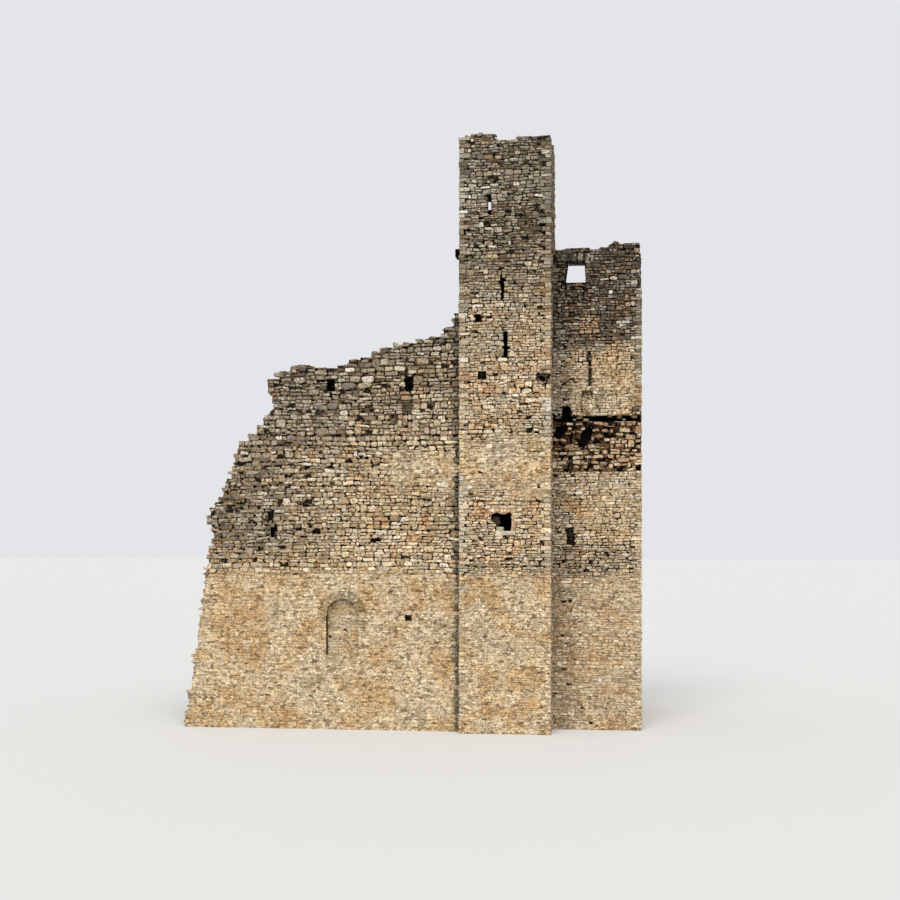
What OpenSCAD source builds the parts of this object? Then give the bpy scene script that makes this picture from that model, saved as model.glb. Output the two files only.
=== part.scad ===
// Ruined castle keep of rubble limestone, in millimetres, with its front towards -Y.
// The origin is the middle of the ground plan, at ground level.
// An opening is [place along the wall, height over its lift, width, height].

/* [Overall] */
// Depth on the ground, from the turret's face to the rear wall's face
keep_d = 10200; // [9000:100:12000]
// Length of the hall's front wall on the ground, turret to broken end
hall_len = 11600; // [11000:100:13000]
// Width of the turret
turret_w = 3640; // [3300:20:4400]
// Length of the right front wall, turret to corner
right_w = 3620; // [3200:20:4400]
// Length lost from the rear wall at its broken end, beside the hall's front
rear_lost = 900; // [500:50:1600]

/* [Heights] */
// Top of the turret's walls
turret_h = 24000; // [23400:50:26000]
// Highest point left of the hall's front wall, beside the turret
hall_h = 17060; // [16400:20:18500]
// Top of the right front wall
right_h = 19660; // [19000:20:21000]
// Top of the rear wall at its corner
rear_h = 17200; // [16400:50:18500]
// Ledge on the turret's front
turret_ledge = 6780; // [6000:20:7600]
// Ledge on the hall's front and on the rear wall
hall_ledge = 6410; // [6000:10:7000]
// Ledge on the right front wall
right_ledge = 10600; // [9800:50:11400]
// Second lift of all the walls, where the upper floor was
lift_2 = 13000; // [12600:50:13200]
// Height of the turret's top storey
turret_top_h = 5000; // [4600:50:5400]
// Height of the right front wall's top piece, with its window
right_top_h = 1600; // [1500:10:1800]
// Height of the robbed band over the right front wall's ledge
robbed_h = 2300; // [2200:10:2400]

/* [Wall thicknesses and ledges] */
// Thickness of the turret's walls
turret_wall = 700; // [600:10:900]
// Thickness of the hall's front and rear walls over the ledge
hall_wall = 1200; // [900:10:1400]
// Thickness of the right front and side walls
right_wall = 1150; // [900:10:1400]
// How far a lower lift stands out at its ledge
ledge_out = 50; // [20:5:100]
// Step inside, where the joists of a floor lay
joist_ledge = 200; // [100:10:300]
// Depth of the turret, front to back
turret_d = 3400; // [3200:50:4200]
// How far the turret stands out from the hall's front
turret_out_hall = 500; // [300:10:800]
// How far the turret stands out from the right front wall
turret_out_right = 1700; // [1200:10:2000]

/* [Openings in the turret] */
// Ragged window over the ledge
turret_window = [1855, 1380, 490, 760]; // [100:10:4000]
// How far the window is broken away on its left
window_break = 330; // [200:10:400]
// Thin drain slot just over the ledge
turret_slot = [1965, 220, 360, 80]; // [60:10:4000]
// Square hole low in the third storey
low_hole = [905, 1270, 340, 320]; // [100:10:4000]
// Square hole over it
high_hole = [735, 3570, 240, 320]; // [100:10:4000]
// Slit beside the square holes
middle_slit = [1855, 2140, 160, 1040]; // [100:10:4000]
// Slit over it
upper_slit = [1730, 4490, 130, 860]; // [100:10:4600]
// Slit at the top, with the sky behind it
top_slit = [1210, 1900, 135, 800]; // [100:5:4000]
// Opening in the turret's back wall that lights the top slit
back_light = [2727, 2700, 400, 505]; // [400:5:4000]
// Stone lost from the turret's right corner: height over the lift, length, height, depth
lost_corner = [1160, 580, 350, 300]; // [100:10:2000]
// Doorway from the hall into the turret: place, sill, width, height
turret_door = [1820, 0, 800, 1900]; // [0:10:2400]
// Height of the two stones that lean on each other over the window
lintel_h = 240; // [200:10:300]
// How far they run past the gap on each side
lintel_run = 180; // [120:10:260]
// Height of the window's sill stone
sill_h = 170; // [120:10:220]
// Width of the window's right jamb stone
jamb_w = 150; // [110:10:200]
// Depth of the window's dressed stones into the wall
dressing_depth = 420; // [300:10:560]
// Thickness of the vault over the shaft, at its crown
vault_crown = 200; // [150:10:260]
// How far the vault's top lies under the turret's top
vault_drop = 140; // [100:10:200]
// Height of one heap of loose core on the vault
heap_h = 70; // [50:5:90]

/* [Openings in the hall] */
// Beam hole near the broken end
left_beam_hole = [5400, 920, 360, 490]; // [100:10:6000]
// Beam hole near the turret
right_beam_hole = [2160, 880, 360, 570]; // [100:10:6000]
// Thin gap where a stone has slipped, beside the left beam hole
beam_gap = [5790, 1310, 420, 70]; // [40:10:6400]
// Depth of a beam hole
beam_hole_depth = 800; // [500:10:900]
// How far the corners of the right beam hole are worn off
beam_hole_wear = 80; // [20:10:120]
// Small scaffold hole in the middle
middle_hole = [3530, 1300, 360, 160]; // [100:10:6000]
// Small scaffold hole to its left
left_hole = [6010, 1640, 330, 160]; // [100:10:8400]
// Upper one of two scaffold holes near the broken end
end_hole_high = [7950, 2210, 260, 370]; // [100:10:8400]
// Lower one of the two
end_hole_low = [7820, 1510, 260, 410]; // [100:10:8400]
// Scaffold hole in the lower lift, near the turret
base_hole = [2170, 4480, 290, 250]; // [100:10:6000]
// Depth of a blind scaffold hole
hole_depth = 500; // [300:10:700]
// Arched entrance: place left of the turret, sill, width, height to the springing
entrance = [4920, 3050, 1340, 1660]; // [1000:10:6000]
// Length of a voussoir, from the arch's inner to its outer curve
voussoir_l = 380; // [280:10:460]
// Number of voussoirs in an arch
voussoir_count = 13; // [9:2:17]
// Width of the open joints between the stones of an arch
arch_joint = 14; // [6:1:20]
// Depth of the recess before the blocking of the entrance
blocking_recess = 300; // [150:10:500]

/* [Openings in the right front wall] */
// Window under the broken top
top_window = [930, 360, 880, 865]; // [300:5:1200]
// How far its jambs lean in at the head, on the left and on the right
top_window_lean = [120, 55]; // [20:5:160]
// Height of the broken-out recess under its sill
sill_recess_h = 700; // [500:10:900]
// Depth of that recess
sill_recess_d = 220; // [150:10:400]
// Height of the flat arch of thin stones over it
flat_arch_h = 290; // [250:10:320]
// Number of stones in the flat arch
flat_arch_count = 13; // [9:2:17]
// Long slit
right_slit = [1545, 1220, 140, 1410]; // [100:10:3000]
// Hole with a round head
round_hole = [575, 2040, 370, 510]; // [100:10:3000]
// Hollow where stones are lost over the robbed band: place, height, width, height
lost_stones = [1415, 570, 520, 480]; // [0:10:3000]
// Small slit just over the ledge
ledge_slit = [755, 20, 150, 600]; // [20:10:3000]
// Small window in the lower lift: place, height over the ground, width, height
low_window = [750, 7580, 305, 680]; // [300:5:8600]
// Stones lost at the corner, just over the robbed band: length, height
lost_quoins = [360, 360]; // [200:10:600]
// Depth to which the facing is robbed over the ledge
robbed_depth = 170; // [100:10:220]
// Depth of the open slot along the band's top, under the stones that hang on
undercut_depth = 250; // [200:10:320]
// Hollow in the middle of the band: place, height over the ledge, width, height
middle_hollow = [1370, 980, 600, 880]; // [100:10:2000]
// Hollow beside the turret
side_hollow = [340, 1370, 640, 600]; // [100:10:2000]
// Depth of the two hollows
hollow_depth = 280; // [200:10:400]

/* [Side and rear walls] */
// Place of the side wall's loops, as a share of its length
side_bay = 0.44; // [0.3:0.01:0.6]
// Loop in the lower lift of the side wall: height over the ground, width, height
low_loop = [2600, 140, 900]; // [100:10:3400]
// Places of the rear wall's loops, as shares of its length
rear_bays = [0.15, 0.42, 0.69];

/* [Loops and broken edges] */
// Width of a loop at the inner face
loop_inner_w = 620; // [400:10:800]
// Depth of a loop's straight outer part
loop_throat = 160; // [100:10:250]
// Height of the steps in a broken end
break_course = 300; // [240:10:400]
// Length of the steps in a broken top
break_stone = 480; // [400:10:640]
// How far a broken stone lies off the line of the break
break_rough = 80; // [20:5:100]
// Courses of the lost wall that are still bonded into the turret, and how far they reach
bonding_courses = 8; // [5:1:9]
// Shortest and longest reach of such a stone
bonding_reach = [60, 110]; // [40:10:160]
// Reach of the longest one, at the top
bonding_tusk = 260; // [180:10:320]

/* [Hidden] */

$fn = 48;

// How far a cut runs past a face
over = 50;
// Height above every wall, for cuts that are open at the top
sky = 1.2 * turret_h;
// How far the skins of a wall reach into its core
skin_bond = 60;

lift_3 = turret_h - turret_top_h;
keep_w = hall_len + turret_w + right_w;
x_right = keep_w / 2;
x_turret_right = x_right - right_w;
x_turret_left = x_turret_right - turret_w;
y_turret = -keep_d / 2;
y_hall = y_turret + turret_out_hall;
y_right = y_turret + turret_out_right;
y_rear = keep_d / 2;
y_right_inside = y_right + ledge_out + right_wall;
y_turret_back = y_turret + turret_d;
hall_base_wall = hall_wall + ledge_out + joist_ledge;
shaft_w = turret_w - 2 * turret_wall;
shaft_d = turret_d - 2 * turret_wall;
rear_len = keep_w - rear_lost;
entrance_r = entrance[2] / 2;
entrance_spring = entrance[1] + entrance[3];
side_len = y_rear - y_right_inside;

// The break of the hall's front wall, from the turret to the broken end.
// The top is [distance from the turret, drop below hall_h].
hall_break_top = [
    [0, 0], [310, 160], [350, 480], [560, 640], [840, 980], [1830, 1180], [3260, 1490],
    [4170, 1850], [5130, 2180], [6220, 2190], [6620, 2060], [7060, 2190], [8090, 2720]
];
// The end is [distance in from the end on the ground, height].
hall_break_end = [
    [3510, 14340], [3570, 13870], [3760, 13450], [3710, 13140], [3040, 12260], [2720, 11970],
    [2300, 11850], [2200, 11300], [1910, 10340], [1530, 9580], [940, 8830], [940, 8500],
    [1190, 8120], [900, 6400], [620, 4400], [350, 2400], [110, 700], [0, 600], [0, 0]
];
// The break of the rear wall, from the right corner
rear_break_top = [
    [0, 0], [2000, 300], [3400, 1700], [5000, 3000], [7200, 3800], [9600, 4500],
    [12400, 5000], [13800, 5700]
];
rear_break_end = [
    [3300, 11000], [2500, 9400], [1900, 7600], [1400, 6000], [900, 4000], [400, 2000],
    [0, 600], [0, 0]
];
// The broken top of the right front wall, from the turret to the corner
right_break_top = [[0, 60], [1535, 60], [2355, 170], [2915, 400], [3485, 290]];
// The broken top of the side wall, from the front corner to the rear
side_break_top = [[0, 200], [1600, -100], [3200, -700], [4600, -1100], [5950, -1850]];
// The broken tops of the turret's walls
turret_break_top = [[0, 50], [900, 100], [1900, -150], [2800, -50]];

// Points along a rough line from a to b, stepped by whole courses and stones
function teeth(a, b, rough, seed) =
    let(
        run = b.x - a.x,
        rise = b.y - a.y,
        steep = abs(rise) > abs(run),
        count = max(1, round(steep ? abs(rise) / break_course : abs(run) / break_stone)),
        reach = min(rough, max(abs(rise), abs(run)) / 4),
        off = rands(-reach, reach, count, seed)
    )
    [
        for (i = [0 : count - 1], side = [0, 1])
            let(middle = (i + 0.5) / count, step = (i + side) / count)
            steep
                ? [a.x + run * middle + off[i], a.y + rise * step]
                : [a.x + run * step, a.y + rise * middle + off[i]]
    ];

// The whole stepped line through a list of rough points, true on its last stretch
function broken_line(line, seed) =
    [
        for (i = [0 : len(line) - 2])
            each teeth(line[i], line[i + 1], i < len(line) - 2 ? break_rough : 0, seed + i)
    ];

// Places a wall whose outer face looks to the front, the rear, the right or the left.
// Along the wall is +X, into the wall is +Y and the outer face is at Y = 0.
module to_front(x, y) {
    translate([x, y, 0]) children();
}

module to_rear(x, y) {
    translate([x, y, 0]) rotate([0, 0, 180]) children();
}

module to_right(x, y) {
    translate([x, y, 0]) rotate([0, 0, 90]) children();
}

module to_left(x, y) {
    translate([x, y, 0]) rotate([0, 0, -90]) children();
}

// A flat shape drawn in the wall's face, made as thick as the wall from a depth on
module upright(depth, thick) {
    translate([0, depth + thick, 0])
        rotate([90, 0, 0])
            linear_extrude(thick)
                children();
}

// A straight length of wall
module slab(x, z, length, height, thick, depth = 0) {
    translate([x, depth, z]) cube([length, thick, height]);
}

// Wall of two faced skins and a rubble core, each broken along its own line
module broken_wall(line, thick, seed) {
    skin = thick / 3;
    last = line[len(line) - 1];
    foot = last.y > 0 ? [[last.x, 0]] : [];
    for (i = [0 : 2]) {
        start = max(0, i * skin - skin_bond);
        upright(start, (i + 1) * skin - start)
            polygon(concat([[line[0].x, 0]], broken_line(line, seed + 40 * i), foot));
    }
}

// Keeps what lies between two heights
module between(low, high) {
    intersection() {
        children();
        translate([-keep_w, -keep_w, low]) cube([2 * keep_w, 2 * keep_w, high - low]);
    }
}

// Square hole cut from the outer face to a depth
module hole(place, low, depth) {
    translate([place[0] - place[2] / 2, -over, low + place[1]])
        cube([place[2], depth + over, place[3]]);
}

// Outline of a square hole with its corners worn off
module worn_hole_shape(place, low, wear) {
    wide = place[2];
    high = place[3];
    translate([place[0] - wide / 2, low + place[1]])
        polygon([
            [wear, 0], [wide - wear, 0], [wide, wear], [wide, high - wear],
            [wide - wear, high], [wear, high], [0, high - wear], [0, wear]
        ]);
}

// Slit that widens from its throat to the inner face
module splayed_loop(place, low, thick) {
    half = place[2] / 2;
    translate([place[0], 0, low + place[1]])
        linear_extrude(place[3])
            polygon([
                [-half, -over], [half, -over], [half, loop_throat],
                [loop_inner_w / 2, thick + over], [-loop_inner_w / 2, thick + over],
                [-half, loop_throat]
            ]);
}

// Straight way through a wall
module through(place, low, thick) {
    hole(place, low, thick + over);
}

// One wedge of an arch, between two radii and two angles
module wedge(inner, outer, from, to) {
    polygon([
        [inner * cos(from), inner * sin(from)], [outer * cos(from), outer * sin(from)],
        [outer * cos(to), outer * sin(to)], [inner * cos(to), inner * sin(to)]
    ]);
}

voussoir_turn = 180 / voussoir_count;

// How much shorter than the longest each voussoir of an arch is
function voussoir_short(seed) = rands(0, 70, voussoir_count, seed);

// Round arch of wedge-shaped stones with open joints between them. Each stone has its
// own reach outwards and lies its own little way behind the wall's face.
module voussoir_arch(radius, length, depth, seed) {
    half_joint = arch_joint / (2 * radius) * 180 / PI;
    short = voussoir_short(seed);
    sunk = rands(0, 30, voussoir_count, seed + 1);
    for (i = [0 : voussoir_count - 1]) {
        from = i * voussoir_turn + (i > 0 ? half_joint : 0);
        to = (i + 1) * voussoir_turn - (i < voussoir_count - 1 ? half_joint : 0);
        upright(sunk[i], depth - sunk[i])
            wedge(radius, radius + length - short[i], from, to);
    }
}

// Outline that such an arch and its opening fill, stepped at each stone
module voussoir_seat(radius, length, seed) {
    short = voussoir_short(seed);
    polygon([
        for (i = [0 : voussoir_count - 1], side = [0, 1])
            let(angle = (i + side) * voussoir_turn)
            (radius + length - short[i]) * [cos(angle), sin(angle)]
    ]);
}

// Half round opening with the arch's own facets
module half_round(radius) {
    polygon([
        for (i = [0 : voussoir_count])
            radius * [cos(i * voussoir_turn), sin(i * voussoir_turn)]
    ]);
}

// Turret

module turret_front_base() {
    color("#b89f7c")
        to_front(x_turret_left, y_turret)
            slab(0, 0, turret_w, turret_ledge, turret_wall + ledge_out);
}

module turret_face(low, high) {
    to_front(x_turret_left, y_turret + ledge_out)
        slab(0, low, turret_w, high - low, turret_wall);
}

window_left = turret_window[0] - turret_window[2] / 2;
window_right = turret_window[0] + turret_window[2] / 2;
window_sill = turret_ledge + turret_window[1];
window_head = window_sill + turret_window[3];
// Where the two stones over the window meet
lintel_tip = window_left + turret_window[2] * 0.27;

// Outline of the window's gap, with its broken left side and its head of two slopes
module window_gap_shape() {
    w = turret_window[2];
    h = turret_window[3];
    translate([window_left, window_sill])
        polygon([
            [w * 0.3, 0], [w * 0.93, 0], [w, h * 0.25], [w, h * 0.88], [w * 0.85, h],
            [w * 0.27, h * 0.86], [-w * 0.25, h], [-window_break, h * 0.88],
            [-window_break * 0.9, h * 0.6], [-window_break * 0.3, h * 0.23], [w * 0.3, h * 0.21]
        ]);
}

// Two stones that lean on each other over the window, with a joint between them
module lintel_shape() {
    left = window_left - window_break - lintel_run;
    right = window_right + lintel_run;
    foot = window_head - turret_window[3] * 0.15;
    difference() {
        polygon([
            [left, foot + lintel_h * 0.3], [left + lintel_run * 0.6, foot],
            [right - lintel_run * 0.4, foot], [right, foot + lintel_h * 0.4],
            [right - lintel_run * 0.5, window_head + lintel_h * 0.6],
            [lintel_tip, window_head + lintel_h], [left, window_head + lintel_h * 0.6]
        ]);
        window_gap_shape();
        jamb_shape(arch_joint);
        translate([lintel_tip - arch_joint / 2, foot - over]) square([arch_joint, sky]);
    }
}

// Pale sill of a long stone and a shorter one that stands on its left end
module sill_shape() {
    left = window_left - window_break * 0.5;
    right = window_right + jamb_w;
    step_left = window_left - window_break * 0.35;
    step_right = window_left + turret_window[2] * 0.3;
    polygon([
        [left, window_sill - sill_h], [right, window_sill - sill_h], [right, window_sill],
        [step_right, window_sill], [step_right, window_sill + turret_window[3] * 0.21],
        [step_left, window_sill + turret_window[3] * 0.23], [step_left, window_sill],
        [left, window_sill]
    ]);
}

// Upright stone on the window's right, grown by a joint where it is cut from its neighbours
module jamb_shape(grown) {
    difference() {
        translate([window_left, window_sill])
            square([window_right - window_left + jamb_w, turret_window[3] * 0.9 + grown]);
        translate([window_left - over, window_sill - over])
            square([turret_window[2] * 0.93 + over, turret_window[3] * 2]);
        window_gap_shape();
    }
}

module turret_front_middle() {
    color("#b59c79")
        difference() {
            turret_face(turret_ledge, lift_2);
            to_front(x_turret_left, y_turret + ledge_out) {
                upright(-over, turret_wall + 2 * over) window_gap_shape();
                hole(turret_slot, turret_ledge, hole_depth);
                upright(-over, dressing_depth + over) lintel_shape();
                upright(-over, dressing_depth + over) sill_shape();
                upright(-over, dressing_depth + over) jamb_shape(0);
            }
        }
}

module turret_window_lintel() {
    color("#c2ad88")
        to_front(x_turret_left, y_turret + ledge_out)
            upright(-15, dressing_depth + 15) lintel_shape();
}

module turret_window_sill() {
    color("#d5c7a8")
        to_front(x_turret_left, y_turret + ledge_out)
            upright(-25, dressing_depth + 25) sill_shape();
}

module turret_window_jamb() {
    color("#b4825c")
        to_front(x_turret_left, y_turret + ledge_out)
            upright(-10, dressing_depth + 10) jamb_shape(0);
}

// Wedge of stones lost from the corner, thinning to a crack below
module corner_loss() {
    low = lift_2 + lost_corner[0];
    upright(-over, lost_corner[3] + over)
        polygon([
            [turret_w + over, low], [turret_w - lost_corner[1] * 0.3, low - lost_corner[2]],
            [turret_w - lost_corner[1] * 0.4, low], [turret_w - lost_corner[1], low + 60],
            [turret_w - lost_corner[1] * 0.9, low + lost_corner[2]],
            [turret_w + over, low + lost_corner[2] * 0.8]
        ]);
}

module turret_front_upper() {
    color("#a8937a")
        difference() {
            turret_face(lift_2, lift_3);
            to_front(x_turret_left, y_turret + ledge_out) {
                hole(low_hole, lift_2, hole_depth);
                hole(high_hole, lift_2, hole_depth);
                splayed_loop(middle_slit, lift_2, turret_wall);
                splayed_loop(upper_slit, lift_2, turret_wall);
                corner_loss();
            }
        }
}

// The broken top line of a turret wall of a given length
function turret_top(length) = concat(
    [for (p = turret_break_top) [p.x * length / turret_w, turret_h + p.y]],
    [[length, turret_h]]
);

module turret_front_top() {
    color("#978673")
        difference() {
            between(lift_3, sky)
                to_front(x_turret_left, y_turret + ledge_out)
                    broken_wall(turret_top(turret_w), turret_wall, 3);
            to_front(x_turret_left, y_turret + ledge_out)
                splayed_loop(top_slit, lift_3, turret_wall);
        }
}

module turret_left_lower() {
    color("#a8937a")
        to_left(x_turret_left, y_turret_back - turret_wall)
            slab(0, 0, shaft_d - ledge_out, lift_2, turret_wall);
}

module turret_left_upper() {
    color("#978673")
        between(lift_2, sky)
            to_left(x_turret_left, y_turret_back - turret_wall)
                broken_wall(turret_top(shaft_d - ledge_out), turret_wall, 5);
}

module turret_right_lower() {
    color("#a8937a")
        to_right(x_turret_right, y_turret + ledge_out + turret_wall)
            slab(0, 0, shaft_d - ledge_out, lift_2, turret_wall);
}

module turret_right_upper() {
    color("#978673")
        between(lift_2, sky)
            to_right(x_turret_right, y_turret + ledge_out + turret_wall)
                broken_wall(turret_top(shaft_d - ledge_out), turret_wall, 9);
}

module turret_back_lower() {
    color("#a8937a")
        to_rear(x_turret_right, y_turret_back)
            difference() {
                slab(0, 0, turret_w, lift_2, turret_wall);
                through(turret_door, 0, turret_wall);
            }
}

module turret_back_upper() {
    color("#978673")
        difference() {
            between(lift_2, sky)
                to_rear(x_turret_right, y_turret_back)
                    broken_wall(turret_top(turret_w), turret_wall, 12);
            to_rear(x_turret_right, y_turret_back)
                through(back_light, lift_3, turret_wall);
        }
}

vault_top = turret_h - vault_drop;
vault_spring = vault_top - vault_crown - shaft_w / 2;

// Barrel vault that closes the shaft
module turret_vault() {
    color("#8d7f6e")
        to_front(x_turret_left + turret_wall, y_turret + ledge_out + turret_wall)
            upright(0, shaft_d - ledge_out)
                difference() {
                    translate([0, vault_spring]) square([shaft_w, vault_top - vault_spring]);
                    translate([shaft_w / 2, vault_spring]) circle(r = shaft_w / 2);
                }
}

// Mound of loose core left on the vault, in stepped heaps
module turret_cap_rubble() {
    color("#857a6b")
        for (i = [0 : 3]) {
            inset = 60 + i * 210;
            shift = (i % 2) * 90;
            translate([
                x_turret_left + turret_wall + inset + shift,
                y_turret + ledge_out + turret_wall + inset,
                vault_top + i * heap_h
            ])
                cube([
                    shaft_w - 2 * inset,
                    shaft_d - ledge_out - 2 * inset - shift,
                    heap_h
                ]);
        }
}

// Stones of the lost hall wall that are still bonded into the turret's side
module bonding_stones() {
    reach = rands(bonding_reach[0], bonding_reach[1], bonding_courses, 21);
    last = bonding_courses - 1;
    color("#a08c74")
        to_left(x_turret_left, y_hall + ledge_out + hall_wall)
            for (i = [0 : last]) {
                low = hall_h + 200 + i * break_course;
                out = (i == last) ? bonding_tusk : reach[i];
                translate([300 + 60 * (i % 3), -out, low])
                    cube([hall_wall - 420 - 60 * (i % 2), out, break_course]);
            }
}

// Hall

// Rough line of the break from the turret to the ground, leftwards
function leftward(top, high, end, length) = concat(
    [for (p = top) [-p.x, high - p.y]],
    [for (p = end) [p.x - length, p.y]]
);

hall_line = leftward(hall_break_top, hall_h, hall_break_end, hall_len);
rear_line = [
    for (p = leftward(rear_break_top, rear_h, rear_break_end, rear_len)) [-p.x, p.y]
];

// The hall's front wall between two heights, with its own thickness there
module hall_front(low, high, face, thick, seed) {
    between(low, high)
        to_front(x_turret_left, y_hall + face)
            broken_wall(hall_line, thick, seed);
}

module left_of(x) {
    intersection() {
        children();
        translate([x - 2 * keep_w, -keep_w, -over]) cube([2 * keep_w, 2 * keep_w, sky]);
    }
}

entrance_x = x_turret_left - entrance[0];
entrance_reach = entrance_r + voussoir_l;

module hall_base_left() {
    color("#c2a982")
        left_of(entrance_x - entrance_reach)
            hall_front(0, hall_ledge, 0, hall_base_wall, 31);
}

module hall_base_right() {
    start = entrance_x + entrance_reach;
    color("#c2a982")
        difference() {
            to_front(start, y_hall)
                slab(0, 0, x_turret_left - start, hall_ledge, hall_base_wall);
            to_front(x_turret_left, y_hall)
                mirror([1, 0, 0])
                    hole(base_hole, 0, hole_depth);
        }
}

// Wall under an arched opening, up to its sill
module sill_wall() {
    slab(-entrance_reach, 0, 2 * entrance_reach, entrance[1], hall_base_wall);
}

// Wall beside and over an arched opening, cut to seat the arch
module spandrel(seed) {
    difference() {
        slab(-entrance_reach, entrance[1], 2 * entrance_reach, hall_ledge - entrance[1],
            hall_base_wall);
        slab(-entrance_r, entrance[1] - over, entrance[2], entrance[3] + over,
            hall_base_wall + 2 * over, -over);
        translate([0, 0, entrance_spring])
            upright(-over, hall_base_wall + 2 * over)
                voussoir_seat(entrance_r, voussoir_l, seed);
    }
}

module arch_stones(seed) {
    translate([0, 0, entrance_spring])
        voussoir_arch(entrance_r, voussoir_l, hall_base_wall, seed);
}

module hall_entrance_sill_wall() {
    color("#c2a982") to_front(entrance_x, y_hall) sill_wall();
}

module hall_entrance_spandrel() {
    color("#bfa57e") to_front(entrance_x, y_hall) spandrel(51);
}

module hall_entrance_arch() {
    color("#9a8c76") to_front(entrance_x, y_hall) arch_stones(51);
}

// Later wall that blocks the entrance, set back from its face
module hall_entrance_blocking() {
    blocking = hall_base_wall - 2 * blocking_recess;
    color("#b09878")
        to_front(entrance_x, y_hall)
            upright(blocking_recess, blocking) {
                translate([-entrance_r, entrance[1]]) square([entrance[2], entrance[3]]);
                translate([0, entrance_spring]) half_round(entrance_r);
            }
}

module hall_front_middle() {
    color("#bea57f")
        difference() {
            hall_front(hall_ledge, lift_2, ledge_out, hall_wall + joist_ledge / 2, 61);
            to_front(x_turret_left, y_hall + ledge_out)
                mirror([1, 0, 0]) {
                    hole(middle_hole, hall_ledge, hole_depth);
                    hole(left_hole, hall_ledge, hole_depth);
                    hole(end_hole_high, hall_ledge, hole_depth);
                    hole(end_hole_low, hall_ledge, hole_depth);
                }
        }
}

module hall_front_top() {
    color("#a39078")
        difference() {
            hall_front(lift_2, sky, ledge_out, hall_wall, 71);
            to_front(x_turret_left, y_hall + ledge_out)
                mirror([1, 0, 0]) {
                    hole(left_beam_hole, lift_2, beam_hole_depth);
                    upright(-over, beam_hole_depth + over)
                        worn_hole_shape(right_beam_hole, lift_2, beam_hole_wear);
                    hole(beam_gap, lift_2, hole_depth);
                }
        }
}

// Right front wall and side wall

module right_front_base() {
    color("#b59d7b")
        to_front(x_turret_right, y_right)
            difference() {
                slab(0, 0, right_w, right_ledge, right_wall + ledge_out);
                splayed_loop(low_window, 0, right_wall + ledge_out);
            }
}

robbed_top = right_ledge + robbed_h;

robbed_rows = 10;
robbed_columns = 8;

// One course of the robbed band in plan: stones that are left stand in front of the core,
// fewer towards the top, and the top course has none
module robbed_course(row) {
    stone = right_w / (robbed_columns + 0.5);
    bond = (row % 2) * stone / 2;
    is_top = row == robbed_rows - 1;
    share = is_top ? 0 : 0.8 - 0.5 * row / robbed_rows;
    depth = is_top ? undercut_depth : robbed_depth * 0.7;
    kept = rands(0, 1, robbed_columns + 1, 81 + row);
    uneven = rands(0, robbed_depth * 0.3, robbed_columns + 1, 181 + row);
    polygon(concat(
        [[0, right_wall]],
        [
            for (i = [0 : robbed_columns], side = [0, 1])
                [
                    min(right_w, max(0, (i + side) * stone - bond)),
                    uneven[i] + (kept[i] < share ? 0 : depth)
                ]
        ],
        [[right_w, right_wall]]
    ));
}

// Band whose facing is robbed
module right_front_robbed_band() {
    height = (robbed_top - right_ledge) / robbed_rows;
    color("#8a7866")
        to_front(x_turret_right, y_right + ledge_out)
            difference() {
                for (row = [0 : robbed_rows - 1])
                    translate([0, 0, right_ledge + row * height])
                        linear_extrude(height)
                            robbed_course(row);
                splayed_loop(ledge_slit, right_ledge, right_wall);
                upright(-over, hole_depth + over) round_hole_shape();
                upright(-over, hollow_depth + over) {
                    hollow_shape(middle_hollow, right_ledge);
                    hollow_shape(side_hollow, right_ledge);
                }
            }
}

// Outline of the hole with a round head
module round_hole_shape() {
    translate([round_hole[0], right_ledge + round_hole[1]]) {
        translate([-round_hole[2] / 2, 0]) square([round_hole[2], round_hole[3]]);
        translate([0, round_hole[3]]) circle(r = round_hole[2] / 2);
    }
}

// Ragged outline of a hollow, where stones have fallen out
module hollow_shape(place, low) {
    translate([place[0] - place[2] / 2, low + place[1]])
        scale([place[2], place[3]])
            polygon([[0, 0.1], [0.35, 0], [0.9, 0.5], [1, 0.85], [0.75, 1], [0.2, 0.75]]);
}

window_lift = right_h - right_top_h;

module right_front_middle() {
    color("#a39078")
        to_front(x_turret_right, y_right + ledge_out)
            difference() {
                slab(0, robbed_top, right_w, window_lift - robbed_top, right_wall);
                splayed_loop(right_slit, robbed_top, right_wall);
                upright(-over, sill_recess_d + over) sill_recess_shape();
                upright(-over, robbed_depth + over) hollow_shape(lost_stones, robbed_top);
                upright(-over, hole_depth + over) round_hole_shape();
                slab(right_w - lost_quoins[0], robbed_top - over, lost_quoins[0] + over,
                    lost_quoins[1] + over, robbed_depth * 1.3 + over, -over);
            }
}

// Hollow under the sill of the top window
module sill_recess_shape() {
    sill = window_lift + top_window[1];
    translate([top_window[0] - top_window[2] / 2, sill])
        polygon([
            [0, 0], [top_window[2] * 0.04, -sill_recess_h * 0.9],
            [top_window[2] * 0.9, -sill_recess_h], [top_window[2], 0]
        ]);
}

window_head_z = window_lift + top_window[1] + top_window[3];
flat_arch_half = top_window[2] / 2 + 110;

// Outline of the top window, narrower at its head
module top_window_shape() {
    left = top_window[0] - top_window[2] / 2;
    right = top_window[0] + top_window[2] / 2;
    sill = window_lift + top_window[1];
    polygon([
        [left, sill], [right, sill],
        [right - top_window_lean[1], window_head_z], [left + top_window_lean[0], window_head_z]
    ]);
}

// Outline of the flat arch, wider at its top
module flat_arch_shape(splay) {
    polygon([
        [-flat_arch_half, window_head_z], [flat_arch_half, window_head_z],
        [flat_arch_half + splay, window_head_z + flat_arch_h],
        [-flat_arch_half - splay, window_head_z + flat_arch_h]
    ]);
}

flat_arch_splay = 60;

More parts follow.
